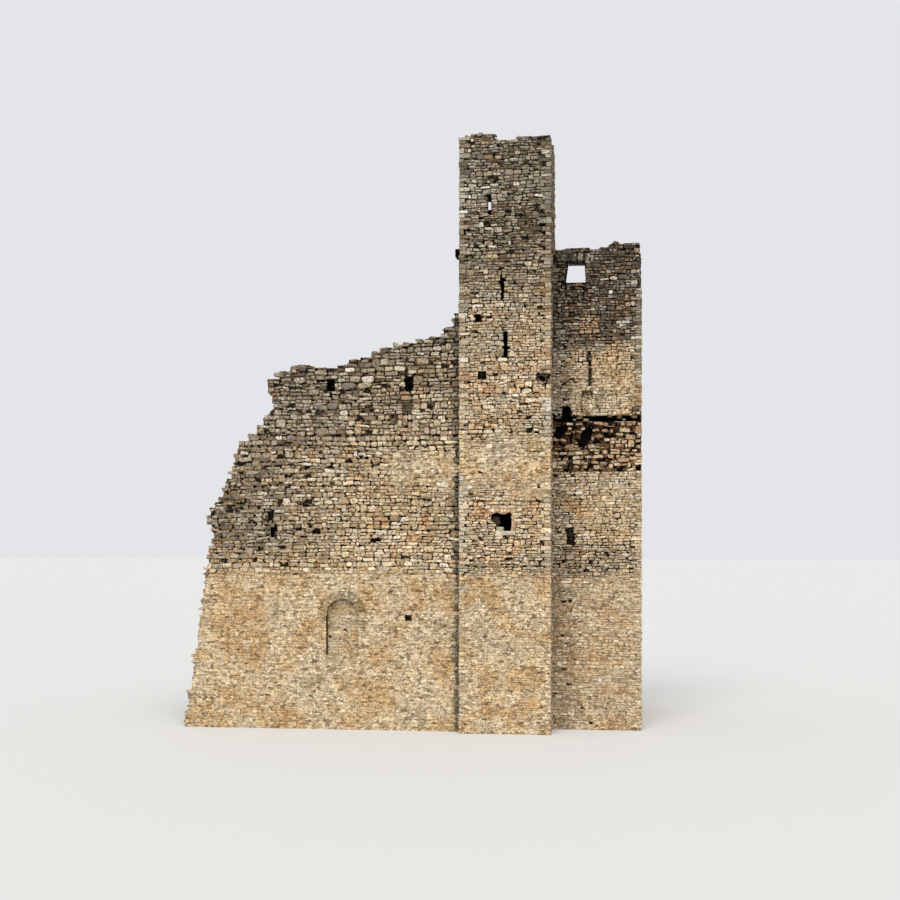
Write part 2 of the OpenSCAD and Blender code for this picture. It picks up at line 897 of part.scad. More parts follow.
module top_window_flat_arch() {
    fan = 2 * (flat_arch_half + flat_arch_splay) / flat_arch_count;
    foot = 2 * flat_arch_half / flat_arch_count;
    proud = rands(0, 30, flat_arch_count, 91);
    color("#94866f")
        to_front(x_turret_right + top_window[0], y_right + ledge_out)
            for (i = [0 : flat_arch_count - 1]) {
                low = i * foot - flat_arch_half;
                high = i * fan - flat_arch_half - flat_arch_splay;
                left = i > 0 ? arch_joint / 2 : 0;
                right = i < flat_arch_count - 1 ? arch_joint / 2 : 0;
                upright(-proud[i], right_wall + proud[i])
                    polygon([
                        [low + left, window_head_z], [low + foot - right, window_head_z],
                        [high + fan - right, window_head_z + flat_arch_h],
                        [high + left, window_head_z + flat_arch_h]
                    ]);
            }
}

right_line = concat(
    [for (p = right_break_top) [p.x, right_h + p.y]],
    [[right_w, right_h + 120]]
);

module right_front_top() {
    color("#8f806f")
        difference() {
            between(window_lift, sky)
                to_front(x_turret_right, y_right + ledge_out)
                    broken_wall(right_line, right_wall, 101);
            to_front(x_turret_right, y_right + ledge_out) {
                upright(-over, right_wall + 2 * over) top_window_shape();
                upright(-over, sill_recess_d + over) sill_recess_shape();
            }
            to_front(x_turret_right + top_window[0], y_right + ledge_out)
                upright(-over, right_wall + 2 * over)
                    flat_arch_shape(flat_arch_splay);
        }
}

side_bay_x = side_bay * side_len;

side_line = concat(
    [for (p = side_break_top) [p.x, right_h + p.y]],
    [[side_len - hall_wall - ledge_out, rear_h]]
);

module side_wall_base() {
    color("#b59d7b")
        to_right(x_right, y_right_inside)
            difference() {
                slab(0, 0, side_len - hall_base_wall, hall_ledge, right_wall);
                splayed_loop([side_bay_x, low_loop[0], low_loop[1], low_loop[2]], 0, right_wall);
            }
}

module side_wall_middle() {
    color("#ac967a")
        to_right(x_right, y_right_inside)
            difference() {
                slab(0, hall_ledge, side_len - hall_wall - joist_ledge / 2 - ledge_out,
                    lift_2 - hall_ledge, right_wall);
                splayed_loop([side_bay_x, low_window[1] - hall_ledge, low_window[2],
                    low_window[3]], hall_ledge, right_wall);
            }
}

module side_wall_top() {
    color("#97866f")
        difference() {
            between(lift_2, sky)
                to_right(x_right, y_right_inside)
                    broken_wall(side_line, right_wall, 111);
            to_right(x_right, y_right_inside)
                splayed_loop([side_bay_x, robbed_top + right_slit[1] - lift_2, right_slit[2],
                    right_slit[3]], lift_2, right_wall);
        }
}

// Rear wall

rear_opening_x = x_right - entrance_x;

// The rear wall between two heights, with its own thickness there
module rear_wall(low, high, face, thick, seed) {
    between(low, high)
        to_rear(x_right, y_rear - face)
            broken_wall(rear_line, thick, seed);
}

module rear_base_right() {
    color("#b8a07c")
        to_rear(x_right, y_rear)
            slab(0, 0, rear_opening_x - entrance_reach, hall_ledge, hall_base_wall);
}

module rear_base_left() {
    color("#b8a07c")
        left_of(entrance_x - entrance_reach)
            rear_wall(0, hall_ledge, 0, hall_base_wall, 121);
}

module rear_opening_sill_wall() {
    color("#b8a07c") to_rear(entrance_x, y_rear) sill_wall();
}

module rear_opening_spandrel() {
    color("#b39b78") to_rear(entrance_x, y_rear) spandrel(131);
}

module rear_opening_arch() {
    color("#9a8c76") to_rear(entrance_x, y_rear) arch_stones(131);
}

module rear_wall_middle() {
    color("#ad967a")
        difference() {
            rear_wall(hall_ledge, lift_2, ledge_out, hall_wall + joist_ledge / 2, 141);
            to_rear(x_right, y_rear - ledge_out)
                for (bay = rear_bays)
                    splayed_loop([bay * rear_len, low_window[1] - hall_ledge, low_window[2],
                        low_window[3]], hall_ledge, hall_wall + joist_ledge / 2);
        }
}

module rear_wall_top() {
    color("#97866f")
        rear_wall(lift_2, sky, ledge_out, hall_wall, 151);
}

turret_front_base();
turret_front_middle();
turret_front_upper();
turret_front_top();
turret_left_lower();
turret_left_upper();
turret_right_lower();
turret_right_upper();
turret_back_lower();
turret_back_upper();
turret_vault();
turret_cap_rubble();
turret_window_lintel();
turret_window_sill();
turret_window_jamb();
bonding_stones();
hall_base_left();
hall_base_right();
hall_entrance_sill_wall();
hall_entrance_spandrel();
hall_entrance_arch();
hall_entrance_blocking();
hall_front_middle();
hall_front_top();
right_front_base();
right_front_robbed_band();
right_front_middle();
right_front_top();
top_window_flat_arch();
side_wall_base();
side_wall_middle();
side_wall_top();
rear_base_left();
rear_base_right();
rear_opening_sill_wall();
rear_opening_spandrel();
rear_opening_arch();
rear_wall_middle();
rear_wall_top();
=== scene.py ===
import math
import random
from collections import namedtuple

import bmesh
import bpy
import numpy as np
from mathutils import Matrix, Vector
from mathutils.bvhtree import BVHTree


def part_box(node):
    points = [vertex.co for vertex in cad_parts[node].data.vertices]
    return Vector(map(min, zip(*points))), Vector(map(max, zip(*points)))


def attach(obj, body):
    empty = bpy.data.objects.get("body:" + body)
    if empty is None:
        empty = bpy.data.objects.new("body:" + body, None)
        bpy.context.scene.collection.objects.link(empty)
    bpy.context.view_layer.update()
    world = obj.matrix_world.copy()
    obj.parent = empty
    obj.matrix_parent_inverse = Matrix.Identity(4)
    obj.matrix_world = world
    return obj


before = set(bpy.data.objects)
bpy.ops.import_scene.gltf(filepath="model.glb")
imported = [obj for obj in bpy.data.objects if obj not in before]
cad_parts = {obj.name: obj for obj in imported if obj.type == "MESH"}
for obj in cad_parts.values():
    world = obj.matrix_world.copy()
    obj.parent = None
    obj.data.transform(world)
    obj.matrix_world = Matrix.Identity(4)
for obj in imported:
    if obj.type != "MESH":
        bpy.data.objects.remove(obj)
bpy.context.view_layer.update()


# Camera
# It stands where the photograph was taken: well back before the turret, level, a little
# right of it and turned to the left. The shift shows more above, so that no wall leans.
def placed(name, data):
    """A new object of the scene that holds the data."""
    made = bpy.data.objects.new(name, data)
    bpy.context.scene.collection.objects.link(made)
    return made


turret_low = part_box("turret_front_base")[0]
turret_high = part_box("turret_front_top")[1]
camera_distance = 55.0
camera_height = 8.0
camera_offset = 3.025
camera_turn = math.radians(7.307)
camera_data = bpy.data.cameras.new("photo_camera")
camera_data.lens = 55.0
camera_data.sensor_width = 36.0
camera_data.shift_y = 0.0944
camera_data.clip_end = 500.0
camera = placed("photo_camera", camera_data)
camera.location = (turret_high.x + camera_offset, turret_low.y - camera_distance, camera_height)
camera.rotation_euler = (math.radians(90), 0, camera_turn)
bpy.context.scene.camera = camera


# Wall bodies, the solids of the frame
# Rubble set in lime mortar. What shows of them between the facing stones is the mortar,
# washed out and dark in open joints, and gritty, with sand and small pinning stones in it.
def colour(code):
    """Linear colour of an sRGB hex code."""
    parts = [int(code[i:i + 2], 16) / 255 for i in (1, 3, 5)]
    return [p / 12.92 if p <= 0.04045 else ((p + 0.055) / 1.055) ** 2.4 for p in parts] + [1.0]


def lead(tree, source, socket):
    """Leads a socket, or a node's first socket in use, into another, or sets a plain value."""
    if isinstance(source, bpy.types.Node):
        source = next(s for s in source.outputs if s.enabled)
    if isinstance(source, bpy.types.NodeSocket):
        tree.links.new(source, socket)
    else:
        socket.default_value = source


def add(tree, kind, settings, **links):
    """Adds a shader node with its settings, among them a colour ramp's (place, hex code) stops,
    and with what leads into its sockets, which are named or counted, as i0, i1 and so on."""
    node = tree.nodes.new("ShaderNode" + kind)
    for name, value in settings.items():
        if name == "stops":
            while len(node.color_ramp.elements) < len(value):
                node.color_ramp.elements.new(1.0)
            for element, (place, code) in zip(node.color_ramp.elements, value):
                element.position, element.color = place, colour(code)
        elif name in node.inputs:
            node.inputs[name].default_value = value
        else:
            setattr(node, name, value)
    for name, source in links.items():
        key = int(name[1:]) if name[1:].isdigit() else name.replace("_", " ")
        lead(tree, source, node.inputs[key])
    return node


def material(name, roughness, shine=0.1):
    """New material with its shader tree, principled shader and object coordinates."""
    made = bpy.data.materials.new(name)
    made.use_nodes = True
    tree = made.node_tree
    shader = tree.nodes["Principled BSDF"]
    shader.inputs["Roughness"].default_value = roughness
    shader.inputs["Specular IOR Level"].default_value = shine
    where = add(tree, "TexCoord", {}).outputs["Object"]
    return made, tree, shader, where


def lime_changes(tree, where):
    """What is to be multiplied with the colour of old lime: ochre and chalky patches a metre
    across, the small rubble of 60 to 150 mm that shows through it, sand, and level cracks."""
    patch = add(tree, "TexNoise", {"Scale": 0.75, "Detail": 5.0, "Roughness": 0.7}, Vector=where)
    changed = add(tree, "ValToRGB", {"stops": [(0.33, "#e0c29c"), (0.45, "#f0e2cc"),
                                               (0.56, "#ffffff"), (0.67, "#c9c5be")]}, Fac=patch)
    # The rubble, its pieces flatter than wide, with joints that show here and not there
    warp = add(tree, "TexNoise", {"Scale": 5.0, "Detail": 2.0}, Vector=where)
    warped = add(tree, "Mix", {"data_type": "RGBA", "blend_type": "LINEAR_LIGHT"}, i0=0.08,
                 i6=where, i7=warp.outputs["Color"])
    flat = add(tree, "Mapping", {"Scale": (1.0, 1.0, 1.6)}, Vector=warped)
    pebbles = add(tree, "TexVoronoi", {"Scale": 7.5}, Vector=flat)
    each = add(tree, "SeparateColor", {}, Color=pebbles.outputs["Color"])
    pebbly = add(tree, "ValToRGB", {"stops": [(0.0, "#81776a"), (0.2, "#d4ccbe"),
                                              (0.5, "#ffffff"), (0.8, "#bfb5a5"),
                                              (1.0, "#ffffff")]}, Fac=each)
    edges = add(tree, "TexVoronoi", {"feature": "DISTANCE_TO_EDGE", "Scale": 7.5}, Vector=flat)
    joints = add(tree, "ValToRGB", {"stops": [(0.0, "#5a4f42"), (0.12, "#ffffff")]}, Fac=edges)
    open_joint = add(tree, "MapRange", {"From Min": 0.4, "From Max": 0.6}, Value=warp)
    # Sand and grit of 2 to 10 mm, drawn at 50 mm so that it shows
    grit = add(tree, "TexNoise", {"Scale": 20.0, "Detail": 3.0, "Roughness": 0.8}, Vector=where)
    gritty = add(tree, "ValToRGB", {"stops": [(0.36, "#74695c"), (0.5, "#ffffff")]}, Fac=grit)
    level = add(tree, "Mapping", {"Scale": (1.0, 1.0, 3.5)}, Vector=where)
    crack = add(tree, "TexNoise", {"Scale": 3.2, "Detail": 3.0, "Roughness": 0.6}, Vector=level)
    cracks = add(tree, "ValToRGB", {"stops": [(0.33, "#55483a"), (0.39, "#ffffff")]}, Fac=crack)
    for amount, over in ((1.0, pebbly), (open_joint, joints), (1.0, gritty), (0.95, cracks)):
        changed = add(tree, "Mix", {"data_type": "RGBA", "blend_type": "MULTIPLY"}, i0=amount,
                      i6=changed, i7=over)
    return changed


turret_left, turret_right = turret_low.x, turret_high.x
side_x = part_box("right_front_base")[1].x
# The mortar's colours are spread over this height and wander up and down by this much
colour_height, colour_drift = 24.0, 3.0
# Y from which the front's own colours come in, and from which they hold
front_from, front_whole = -1.0, -3.3
# Y between which a face that looks forwards is the back of an opening, which is painted black as
# shade
recess_from, recess_whole, recess_to = -3.25, -3.12, 3.0
# X of the broken left end on the ground, and how far it steps back for each metre up
broken_x, broken_lean = -8.0, 0.26
# Height under which the joints are flush, and over which they are washed out
flush_to, washed_from = 5.9, 6.4


def lime_mortar(name, heights, hollows, rightwards=(), faced=()):
    """Old lime mortar, pressed in by trowel and worn by rain, so it is matt and gritty, and its
    holes, reveals and recesses are painted dark as shade. Its colour follows the height, in (share
    of colour_height, hex code) stops, and rightwards gives the (start, end, heights) of other
    colours that take over on the front, from a start to an end along X. hollows is the share that
    has dropped out, which leaves holes painted dark as their shade. faced are the places along X
    of wall faces that look sideways, which get none of the painted shade of reveals."""
    made, tree, shader, where = material(name, 0.95)
    along, back, height = add(tree, "SeparateXYZ", {}, Vector=where).outputs
    drift = add(tree, "TexNoise", {"Scale": 0.9, "Detail": 4.0}, Vector=where)
    shifted = add(tree, "Math", {"operation": "MULTIPLY_ADD"}, i0=drift, i1=colour_drift,
                  i2=height)
    share = add(tree, "MapRange", {"From Min": colour_drift / 2,
                                   "From Max": colour_drift / 2 + colour_height}, Value=shifted)
    base = add(tree, "ValToRGB", {"stops": heights}, Fac=share)
    front = add(tree, "MapRange", {"From Min": front_from, "From Max": front_whole}, Value=back)
    for start, end, others in rightwards:
        over = add(tree, "MapRange", {"From Min": start, "From Max": end}, Value=along)
        there = add(tree, "Math", {"operation": "MULTIPLY"}, i0=over, i1=front)
        base = add(tree, "Mix", {"data_type": "RGBA"}, i0=there, i6=base,
                   i7=add(tree, "ValToRGB", {"stops": others}, Fac=share))
    # Reveals and the backs of openings are painted black: painted shade where the light doesn't
    # reach, with old damp where no rain or lime came
    normal = add(tree, "NewGeometry", {}).outputs["Normal"]
    across, ahead, _ = add(tree, "SeparateXYZ", {}, Vector=normal).outputs
    reveal = add(tree, "Math", {"operation": "ABSOLUTE"}, i0=across)
    for place in faced:
        there = add(tree, "Math", {"operation": "COMPARE"}, i0=along, i1=place, i2=0.15)
        reveal = add(tree, "Math", {"operation": "SUBTRACT"}, i0=reveal, i1=there)
    # The broken ends on the left are open to the weather and to the light, so their core gets no
    # painted shade and is not damp
    leaning = add(tree, "Math", {"operation": "MULTIPLY_ADD"}, i0=height, i1=-broken_lean,
                  i2=along)
    kept = add(tree, "MapRange", {"From Min": broken_x - 0.1, "From Max": broken_x + 0.1},
               Value=leaning)
    reveal = add(tree, "Math", {"operation": "MULTIPLY"}, i0=reveal, i1=kept)
    deep = add(tree, "MapRange", {"From Min": -0.5, "From Max": -0.8}, Value=ahead)
    for part in (add(tree, "MapRange", {"From Min": recess_from, "From Max": recess_whole},
                     Value=back),
                 add(tree, "Math", {"operation": "LESS_THAN"}, i0=back, i1=recess_to)):
        deep = add(tree, "Math", {"operation": "MULTIPLY"}, i0=deep, i1=part)
    # The painted shade of reveals and recesses, with their damp
    shade_and_damp = add(tree, "Math", {"operation": "MAXIMUM"}, i0=reveal, i1=deep)
    black = add(tree, "ValToRGB", {"stops": [(0.6, "#ffffff"), (0.9, "#16130f")]}, Fac=shade_and_damp)
    # Hollows of 60 to 200 mm where the bed has dropped out, painted near-black as their shade;
    # pale flush lime has fewer
    holes = add(tree, "TexNoise", {"Scale": 5.5, "Detail": 2.0, "Roughness": 0.6}, Vector=where)
    sound = 0.3 * (1 - hollows)
    hollow_shade = add(tree, "ValToRGB", {"stops": [(0.36 + sound, "#ffffff"),
                                              (0.41 + sound, "#1d1914")]}, Fac=holes)
    weak = add(tree, "ValToRGB", {"stops": [(0.41, "#ffffff"), (0.48, "#6a6a6a")]}, Fac=base)
    above = add(tree, "MapRange", {"From Min": flush_to, "From Max": washed_from}, Value=height)
    washed = add(tree, "Math", {"operation": "MULTIPLY"}, i0=weak, i1=above)
    finished = base
    for amount, over in ((0.95, lime_changes(tree, where)), (1.0, black), (washed, hollow_shade)):
        finished = add(tree, "Mix", {"data_type": "RGBA", "blend_type": "MULTIPLY"}, i0=amount,
                       i6=finished, i7=over)
    lead(tree, finished, shader.inputs["Base Color"])
    rough = add(tree, "Bump", {"Strength": 0.5, "Distance": 0.03, "invert": True}, Height=holes)
    # Sand of 2 mm, drawn at 25 mm so that it shows
    sand = add(tree, "TexNoise", {"Scale": 40.0, "Detail": 4.0}, Vector=where)
    fine = add(tree, "Bump", {"Strength": 0.5, "Distance": 0.012}, Height=sand, Normal=rough)
    lead(tree, fine, shader.inputs["Normal"])
    return made


def finish_nodes(made, names):
    """Gives the frame's own nodes a material."""
    for name in names:
        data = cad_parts[name].data
        data.materials.clear()
        data.materials.append(made)


# The lintel and the jamb are faced over like the wall, and the other dressed stones are bare
overlaid_nodes = ["turret_window_lintel", "turret_window_jamb"]
bare_nodes = ["turret_window_sill", "hall_entrance_arch", "rear_opening_arch",
              "top_window_flat_arch"]
robbed_nodes = ["right_front_robbed_band"]
plain_nodes = [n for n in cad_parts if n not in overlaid_nodes + bare_nodes + robbed_nodes]
hall_lime = [(0.0, "#e2d0ac"), (0.25, "#dcc9a5"), (0.285, "#b09d80"), (0.4, "#b09d80"),
             (0.47, "#b5a286"), (0.5, "#96876f"), (0.58, "#71644f"), (0.8, "#625746"),
             (1.0, "#625746")]
turret_lime = [(0.0, "#e2d0ac"), (0.25, "#dcc9a5"), (0.285, "#ac9b7e"), (0.4, "#ac9b7e"),
               (0.43, "#ecdcbd"), (0.46, "#e9d9ba"), (0.49, "#ad9d83"), (0.64, "#a39379"),
               (0.7, "#7d705d"), (0.8, "#6f6453"), (1.0, "#5f5547")]
hall_right_lime = turret_lime[:4] + [(0.43, "#dccbaa"), (0.46, "#d8c7a7"), (0.49, "#a08f76"),
                                     (0.57, "#74674f"), (1.0, "#5f5443")]
# Mortar of the hall's strip beside the turret, darkened as painted shade in the corner, and with
# damp
shade_and_damp_lime = [(0.0, "#93866f"), (0.25, "#8b7f6a"), (0.285, "#6b6051"), (0.4, "#6b6051"),
             (0.5, "#5a5144"), (1.0, "#463e34")]
# Mortar right of the turret, darker near it as painted shade in its lee
lee_shade_lime = [(0.0, "#b9a88b"), (0.25, "#b5a486"), (0.285, "#857a68"), (0.36, "#ab9c82"),
            (0.5, "#ab9c82"), (0.62, "#9f927b"), (0.66, "#5f5548"), (0.7, "#453d33"),
            (1.0, "#38312a")]
right_lime = [(0.0, "#d2bd9c"), (0.25, "#cdb897"), (0.285, "#a08f75"), (0.32, "#a9987d"),
              (0.36, "#bfac8b"), (0.5, "#bfad8e"), (0.62, "#c2b294"), (0.66, "#6b5f50"),
              (0.7, "#4a4136"), (1.0, "#3b342b")]
core_lime = [(0.0, "#93765a"), (0.46, "#866a4f"), (0.5, "#705739"), (0.54, "#5c482f"),
             (1.0, "#4f3e2a")]
finish_nodes(lime_mortar("lime_mortar_joints", hall_lime, 0.6,
                         [(-1.5, 0.5, hall_right_lime),
                          (turret_left - 0.33, turret_left - 0.23, shade_and_damp_lime),
                          (turret_left - 0.05, turret_left, turret_lime),
                          (turret_right - 0.03, turret_right + 0.03, lee_shade_lime),
                          (turret_right + 0.29, turret_right + 1.49, right_lime)],
                         [turret_left, turret_right, side_x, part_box("side_wall_middle")[0].x]),
             plain_nodes)
finish_nodes(lime_mortar("washed_out_wall_core", core_lime, 0.65), robbed_nodes)


# Arches, lintel, sill and jamb
# Limestone split thin and dressed with a hammer only, so the faces are rough and each stone
# has its own tone: the sill is pale, the lintel and jamb warm, and the flat arch dark grey.
def dressed_limestone(name, tones, each=None, limed=False):
    """Split limestone, matt and grained. each(tree, where) gives a random share for each stone,
    or else the tone changes every 250 mm."""
    made, tree, shader, where = material(name, 0.9)
    if each is None:
        patch = add(tree, "TexVoronoi", {"Scale": 4.0}, Vector=where)
        share = add(tree, "SeparateColor", {}, Color=patch.outputs["Color"])
    else:
        share = each(tree, where)
    body = add(tree, "ValToRGB", {"stops": tones}, Fac=share)
    # Grain of 5 mm, drawn at 30 mm so that it shows
    grain = add(tree, "TexNoise", {"Scale": 30.0, "Detail": 5.0, "Roughness": 0.65}, Vector=where)
    speck = add(tree, "ValToRGB", {"stops": [(0.3, "#8f8a80"), (0.65, "#ffffff")]}, Fac=grain)
    layers = [(0.7, speck), (0.9, lime_changes(tree, where))] if limed else [(0.7, speck)]
    for amount, over in layers:
        body = add(tree, "Mix", {"data_type": "RGBA", "blend_type": "MULTIPLY"}, i0=amount,
                   i6=body, i7=over)
    lead(tree, body, shader.inputs["Base Color"])
    dents = add(tree, "Bump", {"Strength": 0.6, "Distance": 0.015}, Height=grain)
    lead(tree, dents, shader.inputs["Normal"])
    return made


flat_low, flat_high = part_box("top_window_flat_arch")
fan_stones, fan_foot, fan_head = 13, 1.1, 1.22


def upright_stones(tree, where):
    """A random share for each of the thin stones, which lean outwards as a fan, changed by the
    flaking of their edges."""
    x, _, z = add(tree, "SeparateXYZ", {}, Vector=where).outputs
    along = add(tree, "Math", {"operation": "SUBTRACT"}, i0=x, i1=(flat_low.x + flat_high.x) / 2)
    wide = add(tree, "MapRange", {"From Min": flat_low.z, "From Max": flat_high.z,
                                  "To Min": fan_foot / fan_stones,
                                  "To Max": fan_head / fan_stones}, Value=z)
    count = add(tree, "Math", {"operation": "DIVIDE"}, i0=along, i1=wide)
    shifted = add(tree, "Math", {"operation": "ADD"}, i0=count, i1=0.5)
    whole = add(tree, "Math", {"operation": "FLOOR"}, i0=shifted)
    each = add(tree, "TexWhiteNoise", {"noise_dimensions": "1D"}, W=whole)
    flaked = add(tree, "TexNoise", {"Scale": 11.0, "Detail": 3.0}, Vector=where)
    changed = add(tree, "Math", {"operation": "MULTIPLY_ADD"}, i0=flaked, i1=2.4, i2=-1.2)
    return add(tree, "Math", {"operation": "ADD"}, i0=each, i1=changed)


arch_tones = [(0.0, "#bdab88"), (0.5, "#d8c5a0"), (1.0, "#e3d4b4")]
upright_tones = [(0.0, "#2e2924"), (0.3, "#5b544a"), (0.5, "#3c362f"), (0.75, "#847b6d"),
                 (1.0, "#a39a8b")]
finish_nodes(dressed_limestone("split_limestone_arches", arch_tones, limed=True),
             ["hall_entrance_arch", "rear_opening_arch"])
finish_nodes(dressed_limestone("split_limestone_grey", upright_tones, upright_stones),
             ["top_window_flat_arch"])
finish_nodes(dressed_limestone("hammered_limestone_pale", [(0.0, "#a39780"), (1.0, "#dacfb6")]),
             ["turret_window_sill"])
finish_nodes(dressed_limestone("hammered_limestone_warm", [(0.0, "#a9845f"), (1.0, "#c7a989")]),
             overlaid_nodes)


# Facing of the hall's front wall
# Flat rubble limestone laid in rough courses in lime mortar. The joints are open and deep,
# but flush with the stones under the ledge and in a band beside the turret.
def rubble_material():
    """Rubble limestone, split by hammer and weathered, so it is matt, chipped and of many tones.
    The stone attribute holds each stone's tone, its weathering and, over its surface, how
    deep a point lies in the joint, and the limed one how much mortar is smeared over it."""
    made, tree, shader, where = material("weathered_rubble_limestone", 0.92)
    stored = add(tree, "Attribute", {"attribute_name": "stone"}).outputs["Vector"]
    tone, weather, depth = add(tree, "SeparateXYZ", {}, Vector=stored).outputs
    # From 0.68 to 0.72 the tone is near-black, painted shade for stones sunk into the wall
    fresh = add(tree, "ValToRGB", {"stops": [
        (0.0, "#d6bf9a"), (0.1, "#f3e0bf"), (0.2, "#dfc8a3"), (0.3, "#fceed3"), (0.4, "#c3a985"),
        (0.5, "#f0dcba"), (0.58, "#b39a79"), (0.66, "#e4ceac"), (0.68, "#241d16"),
        (0.72, "#241d16"), (0.745, "#cdab85"), (0.8, "#c6a584"), (0.84, "#d6c3b1"),
        (0.9, "#c4b8a3"), (0.96, "#ebe2d0"), (1.0, "#f8f1e3")]}, Fac=tone)
    worn = add(tree, "ValToRGB", {"stops": [
        (0.0, "#877c67"), (0.1, "#b9af9b"), (0.2, "#918673"), (0.3, "#d0c7b5"), (0.4, "#655c4e"),
        (0.5, "#a89c8b"), (0.58, "#5d5449"), (0.66, "#988d7b"), (0.68, "#1f1a15"),
        (0.72, "#1f1a15"), (0.745, "#957e69"), (0.8, "#8b7664"), (0.84, "#99908e"),
        (0.9, "#7f786c"), (0.96, "#cdc7bb"), (1.0, "#e9e5de")]}, Fac=tone)
    # Stains a metre or two across
    patch = add(tree, "TexNoise", {"Scale": 0.55, "Detail": 4.0, "Roughness": 0.6}, Vector=where)
    patchy = add(tree, "ValToRGB", {"stops": [(0.35, "#cfc4b4"), (0.6, "#ffffff")]}, Fac=patch)
    # Rusty and chalky blotches half a metre across
    blotch = add(tree, "TexNoise", {"Scale": 1.1, "Detail": 3.0, "Roughness": 0.6}, Vector=where)
    rusty = add(tree, "MapRange", {"From Min": 0.54, "From Max": 0.68, "To Max": 0.6},
                Value=blotch)
    chalky = add(tree, "MapRange", {"From Min": 0.44, "From Max": 0.32, "To Max": 0.45},
                 Value=blotch)
    # Chips and hollows of 50 to 100 mm on the split faces
    chips = add(tree, "TexNoise", {"Scale": 13.0, "Detail": 3.0, "Roughness": 0.7}, Vector=where)
    chipped = add(tree, "ValToRGB", {"stops": [(0.36, "#4d443a"), (0.44, "#cfc8bd"),
                                               (0.54, "#ffffff")]}, Fac=chips)
    # Crystals and pits of 5 mm, drawn at 20 mm so that they show
    grain = add(tree, "TexNoise", {"Scale": 38.0, "Detail": 5.0, "Roughness": 0.6}, Vector=where)
    grainy = add(tree, "ValToRGB", {"stops": [(0.3, "#b8b2a8"), (0.58, "#ffffff")]}, Fac=grain)
    # Lichen in spots of 30 to 100 mm, only on the weathered stones
    spots = add(tree, "TexNoise", {"Scale": 9.0, "Detail": 3.0}, Vector=where)
    spotty = add(tree, "MapRange", {"From Min": 0.6, "From Max": 0.72}, Value=spots)
    lichen = add(tree, "Math", {"operation": "MULTIPLY"}, i0=spotty, i1=weather)
    # Darker towards the joint, at some edges more than at others
    edge = add(tree, "Math", {"operation": "MULTIPLY_ADD"}, i0=depth, i1=0.6, i2=-0.75)
    uneven = add(tree, "Math", {"operation": "MULTIPLY_ADD"}, i0=spots, i1=2.0, i2=edge)
    joint_darkening = add(tree, "ValToRGB", {"stops": [(0.5, "#ffffff"), (0.7, "#a89c8b"),
                                             (0.95, "#564c41")]}, Fac=uneven)
    # Mortar smeared over the stones where the joints were pointed flush
    limed = add(tree, "Attribute", {"attribute_name": "limed"}).outputs["Fac"]
    smear = add(tree, "TexNoise", {"Scale": 3.2, "Detail": 4.0, "Roughness": 0.65}, Vector=where)
    reach = add(tree, "Math", {"operation": "ADD"}, i0=smear, i1=limed)
    covered = add(tree, "MapRange", {"From Min": 0.84, "From Max": 1.06}, Value=reach)
    lime = add(tree, "Mix", {"data_type": "RGBA", "blend_type": "MULTIPLY"}, i0=0.95,
               i6=colour("#f3e1c3"), i7=lime_changes(tree, where))
    body = fresh
    for how, amount, over in (("MIX", weather, worn), ("MULTIPLY", 0.5, patchy),
                              ("MULTIPLY", rusty, colour("#f0c496")),
                              ("MIX", chalky, colour("#b5b2a4")), ("MULTIPLY", 0.9, chipped),
                              ("MULTIPLY", 0.6, grainy), ("MIX", lichen, colour("#85815c")),
                              ("MULTIPLY", 0.9, joint_darkening), ("MIX", covered, lime)):
        body = add(tree, "Mix", {"data_type": "RGBA", "blend_type": how}, i0=amount, i6=body,
                   i7=over)
    lead(tree, body, shader.inputs["Base Color"])
    hollows = add(tree, "Bump", {"Strength": 0.7, "Distance": 0.04}, Height=chips)
    dents = add(tree, "Bump", {"Strength": 0.6, "Distance": 0.012}, Height=grain, Normal=hollows)
    lead(tree, dents, shader.inputs["Normal"])
    return made


rubble_stone = rubble_material()
# Places on its scale of tones: black for painted shade, rusty, pink and white
BLACK, ORANGE, PINK, WHITE = 0.7, 0.78, 0.84, 0.985


def stone_shape(corners, shoulder, seed):
    """One facing stone as numpy points, triangles and depths in the joint. Its outline fills a
    unit square in X and Z; Y runs from its face, 0, to its tail, 1. A shoulder rounds the
    edge in two steps."""
    pick = random.Random(seed)
    shape = bmesh.new()
    bmesh.ops.create_circle(shape, cap_ends=True, segments=corners, radius=0.5)
    turn = math.pi / corners
    fullness = pick.uniform(0.2, 0.7)
    for vert in shape.verts:
        angle = math.atan2(vert.co.y, vert.co.x) + turn
        x, z = [math.copysign(abs(part) ** fullness * 0.5, part)
                for part in (math.cos(angle), math.sin(angle))]
        vert.co = (x + pick.uniform(-0.08, 0.03) * math.copysign(1, x), 1.0,
                   z + pick.uniform(-0.14, 0.04) * math.copysign(1, z))
    shape.faces.ensure_lookup_table()
    # The first extrusion leaves the circle behind as the tail; the next moves its own face
    grown = bmesh.ops.extrude_face_region(shape, geom=[shape.faces[0]])["geom"]
    face = [f for f in grown if isinstance(f, bmesh.types.BMFace)][0]
    steps = [(0.26, 0.99), (0.0, 0.86)] if shoulder else [(0.1, 0.9)]
    for index, (depth, scale) in enumerate(steps):
        if index:
            face = bmesh.ops.extrude_discrete_faces(shape, faces=[face])["faces"][0]
        middle = face.calc_center_median()
        for vert in face.verts:
            vert.co = middle + (vert.co - middle) * (scale + pick.uniform(-0.05, 0.05))
            vert.co.y = depth + pick.uniform(0.0, 0.16)
    poked = bmesh.ops.poke(shape, faces=[face])
    for vert in poked["verts"]:
        vert.co += Vector((pick.uniform(-0.15, 0.15), -pick.uniform(0.05, 0.25),
                           pick.uniform(-0.15, 0.15)))
    return numbers(shape)


